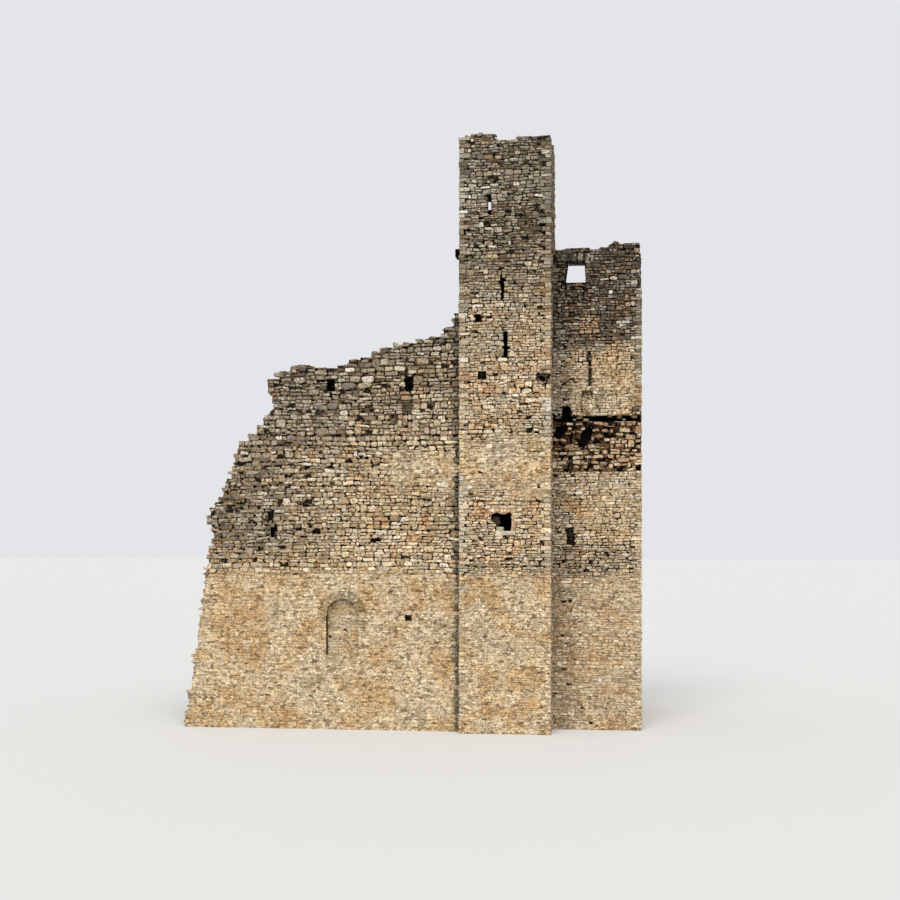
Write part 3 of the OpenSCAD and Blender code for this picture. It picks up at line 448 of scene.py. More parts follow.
def numbers(shape):
    """Points, triangles and depths of a shape, which is freed. The operators leave the faces in
    an order that changes from run to run, so they are put in one that doesn't."""
    bmesh.ops.recalc_face_normals(shape, faces=shape.faces)
    bmesh.ops.triangulate(shape, faces=shape.faces)
    shape.verts.index_update()
    points = np.array([v.co for v in shape.verts])
    corners = [[v.index for v in f.verts] for f in shape.faces]
    starts = [c.index(min(c)) for c in corners]
    triangles = np.array(sorted(c[s:] + c[:s] for c, s in zip(corners, starts)))
    shape.free()
    return points, triangles, np.clip(points[:, 1], 0, 1)


full_shapes = [stone_shape(8, True, 10 + i) for i in range(12)]
plain_shapes = [stone_shape(7, False, 30 + i) for i in range(10)]

# A face of a wall: its left end on the ground as seen from outside, the way along it and out
# of it, its length, and the heights between which stones are laid
Wall = namedtuple("Wall", "foot along out length low high")
# A stone: the middle of its place, the ways along and out, its size, how far it stands out and
# reaches in, how it leans, and its look
Stone = namedtuple("Stone", "middle along out length height proud tail lean tone weather limed")
UP = Vector((0, 0, 1))
FRONT, BACK = Vector((0, -1, 0)), Vector((0, 1, 0))
LEFT, RIGHT = Vector((-1, 0, 0)), Vector((1, 0, 0))


def wall_face(x, y, out, length, low, high):
    """The face whose left end is at x and y and which looks outwards."""
    return Wall(Vector((x, y, 0)), UP.cross(out), out, length, low, high)


vertices, triangles, bare = [], [], []
for name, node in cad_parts.items():
    start = len(vertices)
    vertices += [v.co for v in node.data.vertices]
    triangles += [[start + i for i in p.vertices] for p in node.data.polygons]
    bare += [name in bare_nodes] * len(node.data.polygons)
solids = BVHTree.FromPolygons(vertices, triangles)

# In metres: how far before and behind a wall's plane its solid is looked for, what counts as
# off its face, how thick a solid that lies against it may be, and how level a place has to be
PROBE, OFF_FACE, THICKEST, LEVEL = 0.25, 0.02, 1.7, 0.02
# Distances of the points at which a stone's place is tried, along and up
TRY_LONG, TRY_HIGH = 0.065, 0.055
# The smallest place for a stone, and the shortest one that trimming leaves
LEAST_LONG, LEAST_HIGH, LEAST_TRIMMED = 0.08, 0.045, 0.07


def surface(wall, u, z):
    """How far the solid's surface stands out from the wall's plane there, or None where there
    is none, where dressed stone is bare or where another solid lies against it."""
    start = wall.foot + wall.along * u + wall.out * PROBE + Vector((0, 0, z))
    place, normal, triangle, distance = solids.ray_cast(start, -wall.out, 2 * PROBE)
    if place is None or normal.dot(wall.out) < 0.8 or bare[triangle]:
        return None
    _, beyond, _, _ = solids.ray_cast(place + wall.out * OFF_FACE, wall.out, THICKEST)
    if beyond is not None and beyond.dot(wall.out) > 0.1:
        return None
    return PROBE - distance


def trimmed(wall, u0, u1, z0, z1):
    """The part of a stone's place that lies on the wall, as (u0, u1, z0, z1, surface)."""
    columns = math.ceil((u1 - u0) / TRY_LONG)
    rows = math.ceil((z1 - z0) / TRY_HIGH)
    step_u, step_z = (u1 - u0) / columns, (z1 - z0) / rows
    grid = [[surface(wall, u0 + (i + 0.5) * step_u, z0 + (j + 0.5) * step_z)
             for j in range(rows)] for i in range(columns)]
    level = grid[columns // 2][rows // 2]
    if level is not None and all(g is not None and abs(g - level) < LEVEL
                                 for column in grid for g in column):
        return u0, u1, z0, z1, level
    best, chosen = 0, None
    for i0 in range(columns):
        for j0 in range(rows):
            level = grid[i0][j0]
            if level is None:
                continue
            for i1 in range(i0, columns):
                for j1 in range(j0, rows):
                    size = (i1 - i0 + 1) * (j1 - j0 + 1)
                    if size <= best:
                        continue
                    if all(grid[i][j] is not None and abs(grid[i][j] - level) < LEVEL
                           for i in range(i0, i1 + 1) for j in range(j0, j1 + 1)):
                        best = size
                        chosen = (u0 + i0 * step_u, u0 + (i1 + 1) * step_u,
                                  z0 + j0 * step_z, z0 + (j1 + 1) * step_z, level)
    if chosen and chosen[1] - chosen[0] > LEAST_TRIMMED and chosen[3] - chosen[2] > LEAST_HIGH:
        return chosen
    return None


def sway(u, z):
    """Rise and fall of the joint between two courses along a wall; its change with the
    height makes the courses thicker here and thinner there."""
    return (0.03 * math.sin(0.55 * u + 0.5 * z) + 0.026 * math.sin(1.15 * u + 6.1 * z)
            + 0.012 * math.sin(3.1 * u - 9.3 * z))


LIFT_JOINT = 0.04


def cells(wall, size, lifts, pick):
    """Places for the stones, course by course. Some courses are double, and there two thin
    rows take turns with single tall stones. A lift ends in a wide joint."""
    length, height = size
    z = wall.low
    while z < wall.high:
        double = pick.random() < 0.4
        course = height * (pick.uniform(1.5, 2.0) if double else pick.uniform(0.7, 1.3))
        top = z + course
        # A course that would end near a lift ends at it
        for lift in lifts:
            if z < lift - 0.05 and top > lift - 0.12:
                top = lift - LIFT_JOINT
                course = top - z
        u = -pick.uniform(0, length)
        while u < wall.length:
            run = length * min(2.2, max(0.5, pick.lognormvariate(0, 0.38)))
            if double and pick.random() < 0.66 and course > 1.2 * height:
                run *= 1.8
                split = course * pick.uniform(0.36, 0.64)
                for low, high in ((z, z + split), (z + split, top)):
                    at = u
                    while at < u + run - 0.01:
                        small = length * min(1.8, max(0.45, pick.lognormvariate(-0.1, 0.36)))
                        if u + run - at - small < 0.4 * length:
                            small = u + run - at
                        yield at, at + small, low, high
                        at += small
            else:
                yield u, u + run, z, top
            u += run
        z = top + LIFT_JOINT if top + LIFT_JOINT in lifts else top


def tint(pick, accents=1.0):
    """A stone's tone. Most are near each other, and few are orange, pink, grey or white."""
    if pick.random() < 0.14 * accents:
        return pick.uniform(0.745, 0.94)
    return 1 - 0.05 * pick.random() if pick.random() < 0.02 else pick.uniform(0.0, 0.66)


# In metres: how much narrower than its place a stone is, at the least and, washed out, at the
# most, at its sides and at its bed; how far it stands out, at the least and by how much more
# at the most; how deep it is bedded; and how little a sunk one stands out
SIDE_JOINT, BED_JOINT, PROUD = (-0.014, 0.034), (-0.003, 0.042), (0.008, 0.06)
BEDDED, SUNK = 0.05, 0.004


def facing(wall, size, look, seed, quoins=(), lifts=(), lost=None):
    """Lays the stones of a wall's face, of about the size (length, height). look(u, z) gives how
    open the joints are, how weathered the stones are and how much lime is smeared over them,
    and lost(u, z) the share that is missing; quoins are the (end, reach, low, high) of corner
    stones, and lifts the heights of wide joints."""
    pick = random.Random(seed)
    laid = []
    for u0, u1, z0, z1 in cells(wall, size, lifts, pick):
        tone, odd, gone = tint(pick), pick.random(), pick.random()
        u = (u0 + u1) / 2
        gone = lost is not None and gone < lost(u, (z0 + z1) / 2)
        lean = pick.gauss(0, 0.055) + (sway(u1, z0) - sway(u0, z0)) / (u1 - u0)
        u0, u1 = max(u0, 0.0), min(u1, wall.length)
        nudge = pick.gauss(0, 0.07) * (z1 - z0)
        z0, z1 = z0 + sway(u, z0) + nudge, min(z1 + sway(u, z1) + nudge, wall.high)
        for end, reach, low, high in quoins:
            if min(z1, high) - max(z0, low) > 0.4 * (z1 - z0):
                if end < 0:
                    u0 = max(u0, reach)
                else:
                    u1 = min(u1, wall.length - reach)
        if gone or u1 - u0 < LEAST_LONG or z1 - z0 < LEAST_HIGH or z0 < wall.low:
            continue
        spot = trimmed(wall, u0, u1, z0, z1)
        if spot is None:
            continue
        u0, u1, z0, z1, level = spot
        u, z = (u0 + u1) / 2, (z0 + z1) / 2
        open_joint, weather, lime = look(u, z)
        washed = open_joint * (1 + min(1.0, weather))
        gap, drop = [least + more * washed * pick.random() ** 3
                     for least, more in (SIDE_JOINT, BED_JOINT)]
        proud = PROUD[0] + PROUD[1] * open_joint * odd ** 1.7
        # Some stones are set a little back and painted black, as the shade of stones sunk into the
        # wall
        shaded_sunk_share = (0.05 + 0.2 * weather) * (open_joint - 0.35)
        if pick.random() < shaded_sunk_share and u1 - u0 < 1.3 * size[0]:
            tone, proud, lime = BLACK, SUNK, 0.0
        middle = (wall.foot + wall.along * u + wall.out * level
                  + Vector((0, 0, z - 0.3 * drop)))
        laid.append(Stone(middle, wall.along, wall.out, u1 - u0 - gap, z1 - z0 - drop,
                          proud, BEDDED, lean, tone,
                          min(1.0, max(0.0, weather + 0.45 * (pick.random() - 0.5))), lime))
    return laid


def join(name, stones, shapes, seed):
    """One mesh of all the stones, each a copy of one of the shapes, riding on the root."""
    pick = np.random.default_rng(seed)
    which = pick.integers(0, len(shapes), len(stones))
    flip = pick.choice([-1.0, 1.0], (len(stones), 2))
    points, faces, stored, limed, count = [], [], [], [], 0
    for index, (shape, links, depths) in enumerate(shapes):
        chosen = [s for s, w in zip(stones, which) if w == index]
        if not chosen:
            continue
        turned = flip[which == index]
        x = shape[None, :, 0] * turned[:, :1]
        z = shape[None, :, 2] * turned[:, 1:]
        y = shape[None, :, 1]
        size = np.array([[s.length, s.height, s.proud, s.tail, s.lean] for s in chosen])
        length, height, proud, tail, lean = [size[:, i:i + 1] for i in range(5)]
        right = x * length * np.cos(lean) - z * height * np.sin(lean)
        up = x * length * np.sin(lean) + z * height * np.cos(lean)
        out = proud - y * (proud + tail)
        middle, along, ahead = [np.array([getattr(s, n) for s in chosen])[:, None, :]
                                for n in ("middle", "along", "out")]
        moved = middle + along * right[..., None] + ahead * out[..., None]
        moved[..., 2] += up
        offsets = count + np.arange(len(chosen))[:, None, None] * len(shape)
        turned_links = np.where((turned[:, 0] * turned[:, 1] < 0)[:, None, None],
                                links[None, :, ::-1], links[None])
        points.append(moved.reshape(-1, 3))
        faces.append((turned_links + offsets).reshape(-1, 3))
        look = np.empty((len(chosen), len(shape), 3))
        look[..., :2] = np.array([(s.tone, s.weather) for s in chosen])[:, None, :]
        look[..., 2] = depths
        stored.append(look.reshape(-1, 3))
        limed.append(np.repeat([s.limed for s in chosen], len(shape)))
        count += moved.shape[0] * moved.shape[1]
    mesh = bpy.data.meshes.new(name)
    mesh.from_pydata(np.concatenate(points), [], np.concatenate(faces))
    for title, kind, field, values in (("stone", "FLOAT_VECTOR", "vector", stored),
                                       ("limed", "FLOAT", "value", limed)):
        attribute = mesh.attributes.new(title, kind, "POINT")
        attribute.data.foreach_set(field, np.concatenate(values).astype(np.float32).ravel())
    mesh.materials.append(rubble_stone)
    piece = placed(name, mesh)
    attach(piece, "root")
    print(name, len(stones), "stones,", len(mesh.polygons), "triangles")


def between(value, low, high):
    """0 below low, 1 above high and even between them."""
    return min(1.0, max(0.0, (value - low) / (high - low)))


def noted(stones, wall, places):
    """Gives the stones within a reach of (along, height, reach, tone, weather) places, or else
    the nearest one, a look of their own."""
    for u, z, reach, tone, weather in places:
        spot = wall.foot + wall.along * u + Vector((0, 0, z))
        away = [(stone.middle - spot).length for stone in stones]
        for i in [i for i, d in enumerate(away) if d < reach] or [away.index(min(away))]:
            stones[i] = stones[i]._replace(tone=tone, weather=weather, limed=0.0)
    return stones


hall_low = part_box("hall_base_left")[0]
hall_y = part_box("hall_front_middle")[0].y
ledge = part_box("hall_base_right")[1].z
hall_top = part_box("hall_front_top")[1].z
# Facing is tried up to this far over the top of a wall's box
OVER_TOP = 0.1
hall_wall = wall_face(hall_low.x, hall_y, FRONT, turret_left - hall_low.x, 0.0,
                      hall_top + OVER_TOP)


def hall_look(u, z):
    """The left and the top are grey and weathered. The foot is flush, and so is a band in the
    last metres before the turret; between the two the joints are tight in the right half,
    and a strip beside the turret is dark with damp and with painted shade in the corner."""
    near = hall_wall.length - u
    drift = 0.35 * math.sin(1.9 * u + 0.7 * math.sin(3.1 * z)) * math.sin(0.8 * u + 1.4 * z)
    weather = between(z + 0.5 * near + 2 * drift, 11.3, 17.5) * 1.1
    flush = max(0.82 * (1 - between(z, ledge, ledge + 0.1)),
                between(z + drift, 9.5, 10.1) * (1 - between(z + drift, 11.4, 11.8))
                * (1 - between(near + 0.6 * z, 9.2, 10.8)))
    left = (1 - between(u + drift, 3.0, 7.5)) * between(z, 6.6, 8.0)
    # The strip beside the turret is darkened as painted shade in the corner, and with damp
    shade_and_damp = 1 - between(near, 0.12, 0.34)
    calm = between(u, 4.0, 7.0) * (1 - between(z + drift, 7.8, 8.8))
    return (0.95 - 0.8 * flush * (1 - shade_and_damp) - 0.35 * calm * (1 - flush),
            max(weather, left) + shade_and_damp,
            0.65 * flush * (1 - shade_and_damp))


# Long joints where the masons stopped for a season, and stones of a colour that stands out
hall_lifts = (4.2, ledge, 8.24, 10.02, 11.68, 12.12)
hall_places = [(8.18, 10.23, 0, ORANGE, 0), (10.05, 8.77, 0.2, ORANGE, 0),
               (9.52, 8.08, 0, ORANGE, 0), (8.1, 8.77, 0.25, ORANGE, 0),
               (10.8, 7.11, 0, ORANGE, 0), (4.0, 12.3, 0, PINK, 0), (9.07, 8.65, 0, WHITE, 0),
               (6.33, 8.77, 0, WHITE, 0), (6.98, 14.7, 0, WHITE, 0),
               (9.33, 13.7, 0.2, ORANGE, 0.4), (9.4, 13.2, 0.3, 0.58, 1.0)]
hall_stones = noted(facing(hall_wall, (0.31, 0.16), hall_look, 1, lifts=hall_lifts), hall_wall,
                    hall_places)
# In the strip beside the turret no stone is pale: the stones are darkened as painted shade in the
# corner, and with damp
strip_wide, strip_sway = 0.24, 0.06
hall_stones = [s._replace(tone=0.36 + 0.3 * (s.tone % 0.5), weather=1.0, limed=0.0)
               if turret_left - s.middle.x < strip_wide + strip_sway * math.sin(2.1 * s.middle.z)
               else s for s in hall_stones]
join("hall_front_facing", hall_stones, full_shapes, 1)

blocking_low, blocking_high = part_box("hall_entrance_blocking")
blocking_wall = wall_face(blocking_low.x, blocking_low.y, FRONT, blocking_high.x - blocking_low.x,
                          blocking_low.z, blocking_high.z)
blocking_look = (0.4, 0.2, 0.35)
join("hall_entrance_facing",
     facing(blocking_wall, (0.3, 0.15), lambda u, z: blocking_look, 4), full_shapes, 4)


# Corner stones of the turret and facing of its front
# The corners are longer blocks, some of them pale, laid with their long side to the front and
# to the flank in turn. Between them runs flat rubble in thin courses, flush in two bands.
def block_shape(seed, rough):
    """A squared block in the same unit space as a facing stone, its edges knocked off."""
    pick = random.Random(seed)
    shape = bmesh.new()
    bmesh.ops.create_cube(shape, size=1.0)
    for vert in shape.verts:
        vert.co += Vector([pick.uniform(-rough, rough) for _ in range(3)])
    bmesh.ops.bevel(shape, geom=shape.edges[:], affect="EDGES", offset=0.09, segments=1,
                    profile=0.5, material=-1)
    for vert in shape.verts:
        vert.co += Vector([pick.uniform(-0.02, 0.02) for _ in range(3)]) + Vector((0, 0.5, 0))
    points, links, depths = numbers(shape)
    return points, links, depths * 0


block_shapes = [block_shape(50 + i, 0.07) for i in range(10)]


# What a corner block leaves to its place for the joints at its side and at its bed
CORNER_SIDE, CORNER_BED = 0.008, 0.012


def corner_stones(first, second, low, high, look, seed, pale_heights=(), tall=(0.11, 0.22),
                  long=(0.3, 0.46), short=(0.15, 0.26)):
    """Blocks up the corner where the first face's right end meets the second's left end, and
    the (end, reach, low, high) that they take of the first face and of the second. tall, long
    and short are ranges for the block's height and for its two sides."""
    pick = random.Random(seed)
    blocks, on_first, on_second = [], [], []
    z, turn = low, 0
    while z < high:
        course, far, near = [pick.uniform(*sizes) for sizes in (tall, long, short)]
        here, there = (far, near) if turn % 2 else (near, far)
        middle = z + course / 2
        one = surface(first, first.length - here / 2, middle)
        two = surface(second, there / 2, middle)
        edge = surface(first, first.length - 0.03, middle)
        level = [v for v in (one, two, edge) if v is not None and abs(v) < 0.08]
        if len(level) == 3 and abs(edge - one) < LEVEL:
            proud = 0.022 + 0.02 * pick.random()
            _, weather, lime = look(0, middle)
            spot = (first.foot + first.along * (first.length - here / 2 + two / 2 + proud / 2)
                    + first.out * one + Vector((0, 0, middle)))
            pale = any(a < middle < b for a, b in pale_heights) and pick.random() < 0.5
            tone = pick.uniform(0.9, 0.955) if pale else tint(pick, 0.6)
            blocks.append(Stone(spot, first.along, first.out, here + two + proud - CORNER_SIDE,
                                course - CORNER_BED, proud, there, 0.0, tone,
                                min(1.0, weather + 0.1 * pick.random()),
                                0.0 if pale else lime))
            on_first.append((1, here, z, z + course))
            on_second.append((-1, there, z, z + course))
        z += course
        turn += 1
    return blocks, on_first, on_second


turret_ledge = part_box("turret_front_base")[1].z
turret_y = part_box("turret_front_middle")[0].y
turret_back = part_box("turret_back_lower")[1].y
turret_wide, turret_deep = turret_right - turret_left, turret_back - turret_y
turret_top = turret_high.z + OVER_TOP
turret_front = wall_face(turret_left, turret_y, FRONT, turret_wide, 0.0, turret_top)
turret_flank_left = wall_face(turret_left, turret_back, LEFT, turret_deep, 0.0, turret_top)
turret_flank_right = wall_face(turret_right, turret_y, RIGHT, turret_deep, 0.0, turret_top)
turret_rear = wall_face(turret_right, turret_back, BACK, turret_wide, 0.0, turret_top)


def turret_weather(z):
    """The turret is cleanest at its foot and most weathered at its top."""
    return 0.08 + 0.22 * between(z, 12.3, 15.0) + 0.8 * between(z, 16.6, 20.0)


def turret_look(u, z):
    """The foot and a band over the window are flush, and a stretch above has tight joints."""
    drift = 0.3 * math.sin(2.6 * u + math.sin(2.1 * z)) * math.sin(1.1 * u + 1.7 * z)
    band = between(z + drift, 10.3, 10.7) * (1 - between(z + drift, 11.4, 11.9))
    flush = max(0.85 * (1 - between(z, turret_ledge - 0.5, turret_ledge - 0.3)), band)
    tight = between(z + 2 * drift, 13.4, 14.4) * (1 - between(z, 18.0, 19.4))
    old_top = between(z + drift, 19.4, 21.0)
    return (0.9 - 0.75 * flush - 0.45 * tight - 0.3 * old_top,
            turret_weather(z + 3 * drift) + 0.2 * old_top,
            0.65 * flush + 0.25 * band + 0.28 * tight)


# Round the turret from its left flank, each corner with the heights of its pale blocks
turret_walls = (turret_flank_left, turret_front, turret_flank_right, turret_rear)
turret_quoins = [[] for _ in turret_walls]
turret_blocks = []
for i, pale_heights in enumerate(([(5.6, 10.6)], [(7.5, 8.1), (12.2, 14.0)], (), ())):
    follower = (i + 1) % len(turret_walls)
    blocks, on_first, on_second = corner_stones(turret_walls[i], turret_walls[follower], 0.0,
                                                turret_top, turret_look, 5 + i, pale_heights)
    turret_blocks += blocks
    turret_quoins[i] += on_first
    turret_quoins[follower] += on_second
join("turret_corner_stones", turret_blocks, block_shapes, 5)
turret_lifts = (3.9, turret_ledge, 9.4, 12.1)
turret_places = [(1.7, 11.2, 0.2, 0.95, 0), (1.35, 13.78, 0.3, ORANGE, 0.1),
                 (0.5, 16.1, 0, ORANGE, 0), (2.2, 14.6, 0, WHITE, 0.3), (0.65, 23.3, 0, 0.9, 1),
                 (0.95, 22.0, 0, WHITE, 0.5), (2.4, 22.2, 0, WHITE, 0), (0.4, 21.6, 0, WHITE, 0.5),
                 (3.2, 21.6, 0, WHITE, 0), (2.2, 6.98, 0.22, 0.95, 0.2),
                 (2.2, 14.7, 0.25, PINK, 0.2)]
# What is left of the window's other jamb stands deep in its left half, brown and in shade
lost_jamb = Stone(turret_front.foot + RIGHT * 1.45 + BACK * 0.2 + UP * 8.6, RIGHT, FRONT,
                  length=0.34, height=0.42, proud=0.0, tail=0.3, lean=0.12, tone=0.678,
                  weather=0.5, limed=0.0)
turret_stones = facing(turret_front, (0.25, 0.122), turret_look, 2, quoins=turret_quoins[1],
                       lifts=turret_lifts)
join("turret_front_facing", noted(turret_stones, turret_front, turret_places) + [lost_jamb],
     full_shapes, 2)


# Flanks and back of the turret
# The same rubble, in somewhat larger stones, weathered all the way up where it looks into
# the roofless hall.
flank_size = (0.36, 0.16)


def flank_look(u, z):
    """Open joints and grey stones."""
    return 0.7, 0.25 + turret_weather(z), 0.1


join("turret_flank_facing",
     facing(turret_flank_left, flank_size, flank_look, 9, quoins=turret_quoins[0])
     + facing(turret_flank_right, flank_size, flank_look, 10, quoins=turret_quoins[2]),
     plain_shapes, 9)
join("turret_back_facing",
     facing(turret_rear, flank_size, flank_look, 11, quoins=turret_quoins[3]), plain_shapes, 11)


# Facing of the right front wall
# Smaller stones in lime mortar, dark under the broken top, and darkened as painted shade in the
# turret's lee. Over the ledge the facing was robbed, and the rusty bed stones that show there
# lie rough and open.
right_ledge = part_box("right_front_base")[1].z
robbed_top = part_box("right_front_robbed_band")[1].z
right_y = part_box("right_front_middle")[0].y
right_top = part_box("right_front_top")[1].z + OVER_TOP
rear_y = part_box("rear_wall_middle")[1].y
right_wall = wall_face(turret_right, right_y, FRONT, side_x - turret_right, 0.0, right_top)
side_wall = wall_face(side_x, right_y, RIGHT, rear_y - right_y, 0.0, right_top)


def right_look(u, z):
    """Nearly flush under the ledge, but rough at 6.5 to 7.5 m; wide open in the robbed band,
    and tight above it up to the dark joints under the broken top."""
    # In the turret's lee the joints are more open and the stones darker and less limed, as painted
    # shade
    lee_shade = 1 - between(u, 0.5, 1.5)
    drift = 0.4 * math.sin(2.3 * u + math.sin(1.7 * z)) * math.sin(1.3 * u + 2.1 * z)
    if z < right_ledge:
        rough = between(z, 6.2, 6.5) * (1 - between(z, 7.3, 7.7))
        return (0.4 + 0.45 * rough + 0.2 * lee_shade, 0.15 + 0.4 * lee_shade + 0.25 * rough,
                (0.42 - 0.32 * rough) * (1 - 0.5 * lee_shade))
    if z < robbed_top:
        grey = (1 - between(u + 1.5 * drift, 0.6, 2.6)) * between(z, 10.8, 12.2)
        return 1.1, 0.15 + 0.5 * grey, 0.0
    dark = between(z + drift, 15.5, 16.2)
    return (0.22 + 0.35 * lee_shade + 0.45 * dark,
            0.25 + 0.55 * lee_shade + 0.75 * dark + 0.4 * between(z, 17.6, 18.6),
            0.6 * (1 - dark) * (1 - 0.6 * lee_shade))


def robbed_lost(u, z):
    """Fewer stones are left towards the band's top and its left end."""
    return 0.2 * between(z, 11.4, 12.6) * (1 - 0.5 * between(u, 1.6, 2.8))


def changed(stones, share, tones, low, high, seed):
    """Gives a share of the stones between two heights one of the tones."""
    pick = random.Random(seed)
    return [s._replace(tone=pick.choice(tones) + 0.02 * pick.random())
            if low < s.middle.z < high and pick.random() < share else s for s in stones]


def outer_look(u, z):
    """Flush under the ledge, and more weathered the higher the wall goes."""
    flush = 1 - between(z, ledge, ledge + 0.1)
    return (0.8 - 0.5 * flush, 0.15 + between(z, 12.0, 18.0) + 0.1 * math.sin(0.9 * u),
            0.45 * flush)


# Tones of the stones of the robbed band, of its slot and of the top, where they are dark
robbed_tones, slot_tones = (0.76, 0.79), (0.4, 0.58, 0.58, 0.79)
top_tones, top_from = (0.4, 0.57, 0.57, 0.79), 15.8


def slot_stones(wall, high, tall, seed):
    """Bed stones that are left in the slot under the upper wall; some hang from its lip."""
    pick = random.Random(seed)
    left, u = [], 0.1
    while u < wall.length - 0.4:
        length, height = pick.uniform(0.1, 0.36), pick.uniform(0.06, 0.8 * tall)
        hangs, deep = pick.random() < 0.6, pick.uniform(0.0, 0.12)
        if pick.random() < 0.45:
            z = high + 0.02 - height / 2 if hangs else high - tall - 0.02 + height / 2
            place = wall.foot + wall.along * (u + length / 2) - wall.out * deep + UP * z
            left.append(Stone(place, wall.along, wall.out, length, height, 0.015, 0.27 - deep,
                              pick.gauss(0, 0.08), pick.choice(slot_tones),
                              pick.uniform(0.5, 1.0), 0.0))
        u += length
    return left


right_blocks, front_of_side, side_of_front = corner_stones(right_wall, side_wall, 0.0, right_top,
                                                           outer_look, 12, tall=(0.08, 0.16),
                                                           long=(0.24, 0.46))
join("right_corner_stones", right_blocks, block_shapes, 12)
lower = right_wall._replace(high=right_ledge)
robbed = right_wall._replace(low=right_ledge, high=robbed_top)
upper = right_wall._replace(low=robbed_top)
right_places = [(1.5, 16.6, 0.45, ORANGE, 0.35), (0.9, 14.9, 0, 0.96, 0),
                (2.3, 17.9, 0, WHITE, 0.4), (3.1, 18.3, 0, WHITE, 0.4),
                (2.9, 16.7, 0.2, 0.96, 0.5), (1.7, 17.6, 0, PINK, 0.5)]
join("right_front_facing",
     facing(lower, (0.25, 0.12), right_look, 3, quoins=front_of_side)
     + changed(facing(robbed, (0.36, 0.17), right_look, 13, quoins=front_of_side,
                      lost=robbed_lost), 0.3, robbed_tones, right_ledge, robbed_top, 13)
     + slot_stones(robbed, robbed_top, 0.2, 19)
     + noted(changed(facing(upper, (0.22, 0.125), right_look, 14, quoins=front_of_side),
                     0.7, top_tones, top_from, right_top, 14), upper, right_places),
     full_shapes, 3)


# Facing of the side wall and of the rear wall
# Coursed rubble limestone in larger stones than on the front, bedded in lime mortar that is
# flush under the ledge and open above it.
outer_size = (0.4, 0.18)
rear_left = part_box("rear_base_left")[0].x
rear_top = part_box("rear_wall_top")[1].z + OVER_TOP
rear_wall = wall_face(side_x, rear_y, BACK, side_x - rear_left, 0.0, rear_top)
rear_blocks, side_of_rear, rear_of_side = corner_stones(side_wall, rear_wall, 0.0, right_top,
                                                        outer_look, 15)
join("rear_corner_stones", rear_blocks, block_shapes, 15)
join("side_wall_facing",
     facing(side_wall, outer_size, outer_look, 16, quoins=side_of_front + side_of_rear,
            lifts=(ledge,)), plain_shapes, 16)
join("rear_wall_facing",
     facing(rear_wall, outer_size, outer_look, 17, quoins=rear_of_side, lifts=(ledge,)),
     plain_shapes, 17)


# Facing inside the hall
# The inner faces are of rougher, larger rubble, grey with damp, and step back at the ledges
# where the joists of the floors lay.
def inner_look(u, z):
    """Open joints and weathered stones without any lime left on them."""
    return 0.65, 0.8 + 0.2 * between(z, 10.0, 17.0) + 0.15 * math.sin(0.7 * u + 0.4 * z), 0.0


inner_size = (0.42, 0.2)
room_right, room_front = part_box("side_wall_base")[0].x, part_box("right_front_base")[1].y
room_rear, thinner_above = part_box("rear_base_right")[0].y, 0.3
inside_front = wall_face(turret_left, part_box("hall_front_middle")[1].y, BACK,
                         turret_left - hall_low.x, 0.0, hall_top + OVER_TOP)
inside_right = wall_face(room_right, room_front, BACK, room_right - turret_right, 0.0, right_top)
inside_side = wall_face(room_right, room_rear, LEFT, room_rear - room_front + thinner_above, 0.0,
                        right_top)
inside_rear = wall_face(rear_left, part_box("rear_wall_middle")[0].y, FRONT,
                        room_right - rear_left, 0.0, rear_top)
join("hall_inner_facing",
     facing(inside_front, inner_size, inner_look, 18), plain_shapes, 18)
join("right_inner_facing",
     facing(inside_right, inner_size, inner_look, 19)
     + facing(inside_side, inner_size, inner_look, 20), plain_shapes, 19)
join("rear_inner_facing",
     facing(inside_rear, inner_size, inner_look, 21), plain_shapes, 21)


# Loose core on the broken tops and ends
# Where the walls are broken the core shows: rubble of all sizes that still sticks in its
# mortar, grey with lichen, no two stones level.
rough_shapes = [block_shape(70 + i, 0.12) for i in range(8)]
# A height over everything, and a distance left of everything
OVERHEAD, FAR_LEFT = 40.0, 20.0


def loose(spot, along, out, pick, weather):
    """A stone of the core, turned a little, more than half sunk in the surface it lies on. Most
    are small, and a few are large."""
    turned = (along + out * pick.uniform(-0.7, 0.7)).normalized()
    ahead = turned.cross(UP)
    scale = 0.6 + 0.7 * pick.random() ** 2
    wide, deep, tall = [scale * pick.uniform(*size)
                        for size in ((0.2, 0.44), (0.18, 0.34), (0.08, 0.16))]
    return Stone(spot, turned, ahead, wide, tall, deep / 2, deep / 2, pick.gauss(0, 0.2),
                 tint(pick), weather + 0.2 * (pick.random() - 0.5), 0.0)


def broken_tops(x0, x1, y0, y1, low, step, seed):
    """Loose stones on what faces upwards over a height, seen from above."""
    pick = random.Random(seed)
    laid = []
    for i in range(int((x1 - x0) / step)):
        for j in range(int((y1 - y0) / step)):
            x = x0 + (i + pick.random()) * step
            y = y0 + (j + pick.random()) * step
            spot, normal, _, _ = solids.ray_cast(Vector((x, y, OVERHEAD)), -UP, OVERHEAD)
            if spot is None or normal.z < 0.8 or spot.z < low:
                continue
            stone = loose(spot - UP * pick.uniform(0.0, 0.06), RIGHT, FRONT, pick, 0.9)
            ends = [spot + stone.along * (way * 0.4 * stone.length) for way in (-1, 1)]
            under = [solids.ray_cast(Vector((end.x, end.y, OVERHEAD)), -UP, OVERHEAD)[0]
                     for end in ends]
            if all(u is not None and abs(u.z - spot.z) < 0.3 for u in under):
                laid.append(stone)
    return laid


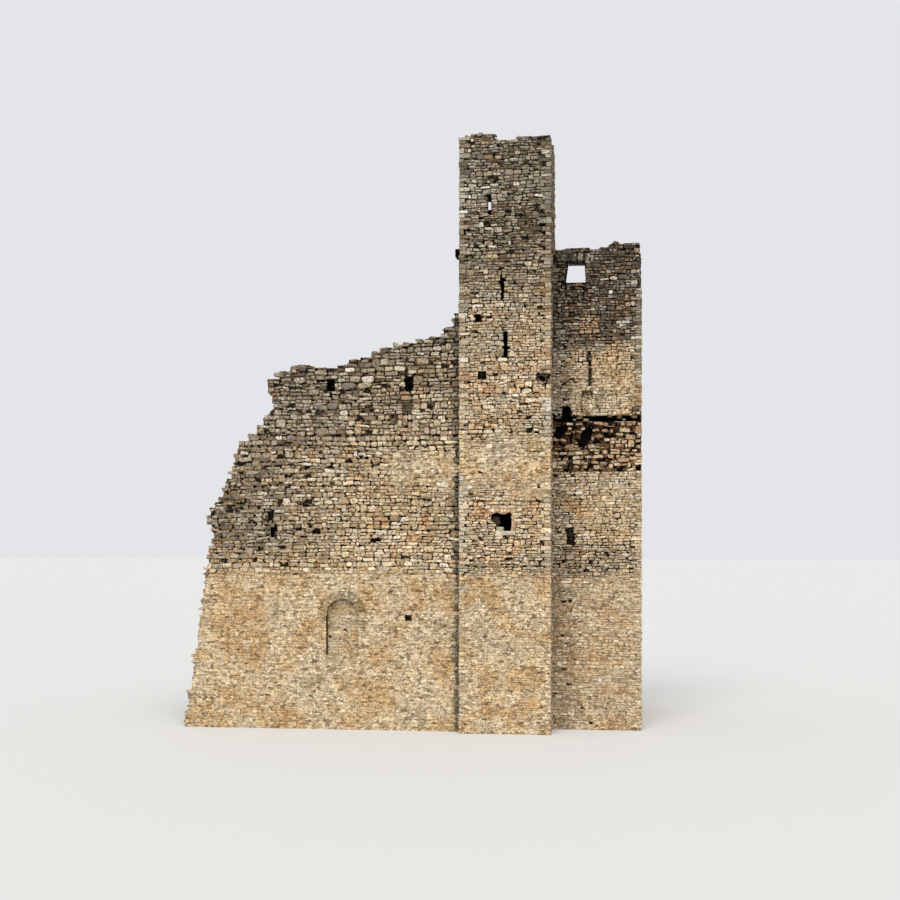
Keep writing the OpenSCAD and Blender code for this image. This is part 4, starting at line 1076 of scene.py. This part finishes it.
def broken_ends(y0, y1, high, reach, seed):
    """Loose stones on the broken ends and the steps of their tops, as far as reach from the
    left, from where they are seen."""
    pick = random.Random(seed)
    laid, apart, course = [], 0.3, 0.21
    for i in range(int((y1 - y0) / apart) + 1):
        for j in range(int(high / course)):
            y = min(y0 + (i + pick.random()) * apart, y1)
            z = (j + pick.random()) * course
            spot, normal, _, _ = solids.ray_cast(Vector((-FAR_LEFT, y, z)), RIGHT,
                                                 FAR_LEFT + reach)
            if spot is None or normal.x > -0.8:
                continue
            weather = 0.35 + 0.5 * between(z, 5.0, 13.0)
            laid.append(loose(spot + RIGHT * pick.uniform(0.02, 0.1), BACK, LEFT, pick, weather))
    return laid


wall_thick = 1.3
join("broken_tops", broken_tops(hall_low.x, side_x, turret_y, rear_y, low=ledge + 0.1,
                                step=0.24, seed=22), rough_shapes, 22)
join("broken_ends", broken_ends(hall_y, hall_y + wall_thick, hall_top, reach=2, seed=23)
     + broken_ends(rear_y - wall_thick, rear_y, right_top, reach=8, seed=24), rough_shapes, 23)


# Floor, backdrop and light
# A plain studio floor in pale matt paint, rolled on evenly, so it shows only the shadows. The
# light is soft from all round, with a broad lamp high in front and a little to the right,
# which brings out the joints.
floor_mesh = bpy.data.meshes.new("floor")
floor_shape = bmesh.new()
bmesh.ops.create_grid(floor_shape, x_segments=1, y_segments=1, size=400.0)
floor_shape.to_mesh(floor_mesh)
floor_shape.free()
floor = placed("floor", floor_mesh)
floor_paint, _, shader, _ = material("pale_floor_paint", 0.9, 0.5)
shader.inputs["Base Color"].default_value = colour("#c6c4c0")
floor_mesh.materials.append(floor_paint)

world = bpy.data.worlds.new("studio")
bpy.context.scene.world = world
world.use_nodes = True
tree = world.node_tree
tree.nodes.clear()
soft = add(tree, "Background", {"Color": colour("#e8ecf2"), "Strength": 0.74})
white = add(tree, "Background", {"Color": colour("#e4e5e8"), "Strength": 1.0})
path = add(tree, "LightPath", {})
seen = path.outputs["Is Camera Ray"]
for ray in ("Is Glossy Ray", "Is Transmission Ray"):
    seen = add(tree, "Math", {"operation": "MAXIMUM"}, i0=seen, i1=path.outputs[ray])
both = add(tree, "MixShader", {}, i0=seen, i1=soft, i2=white)
add(tree, "OutputWorld", {}, Surface=both)

lamp_data = bpy.data.lights.new("broad_lamp", "SUN")
lamp_data.energy = 3.5
lamp_data.angle = math.radians(50)
lamp = placed("broad_lamp", lamp_data)
lamp_tilt, lamp_turn = math.radians(42), math.radians(8)
lamp.rotation_euler = (lamp_tilt, 0, lamp_turn)
bpy.context.scene.view_settings.view_transform = "Standard"
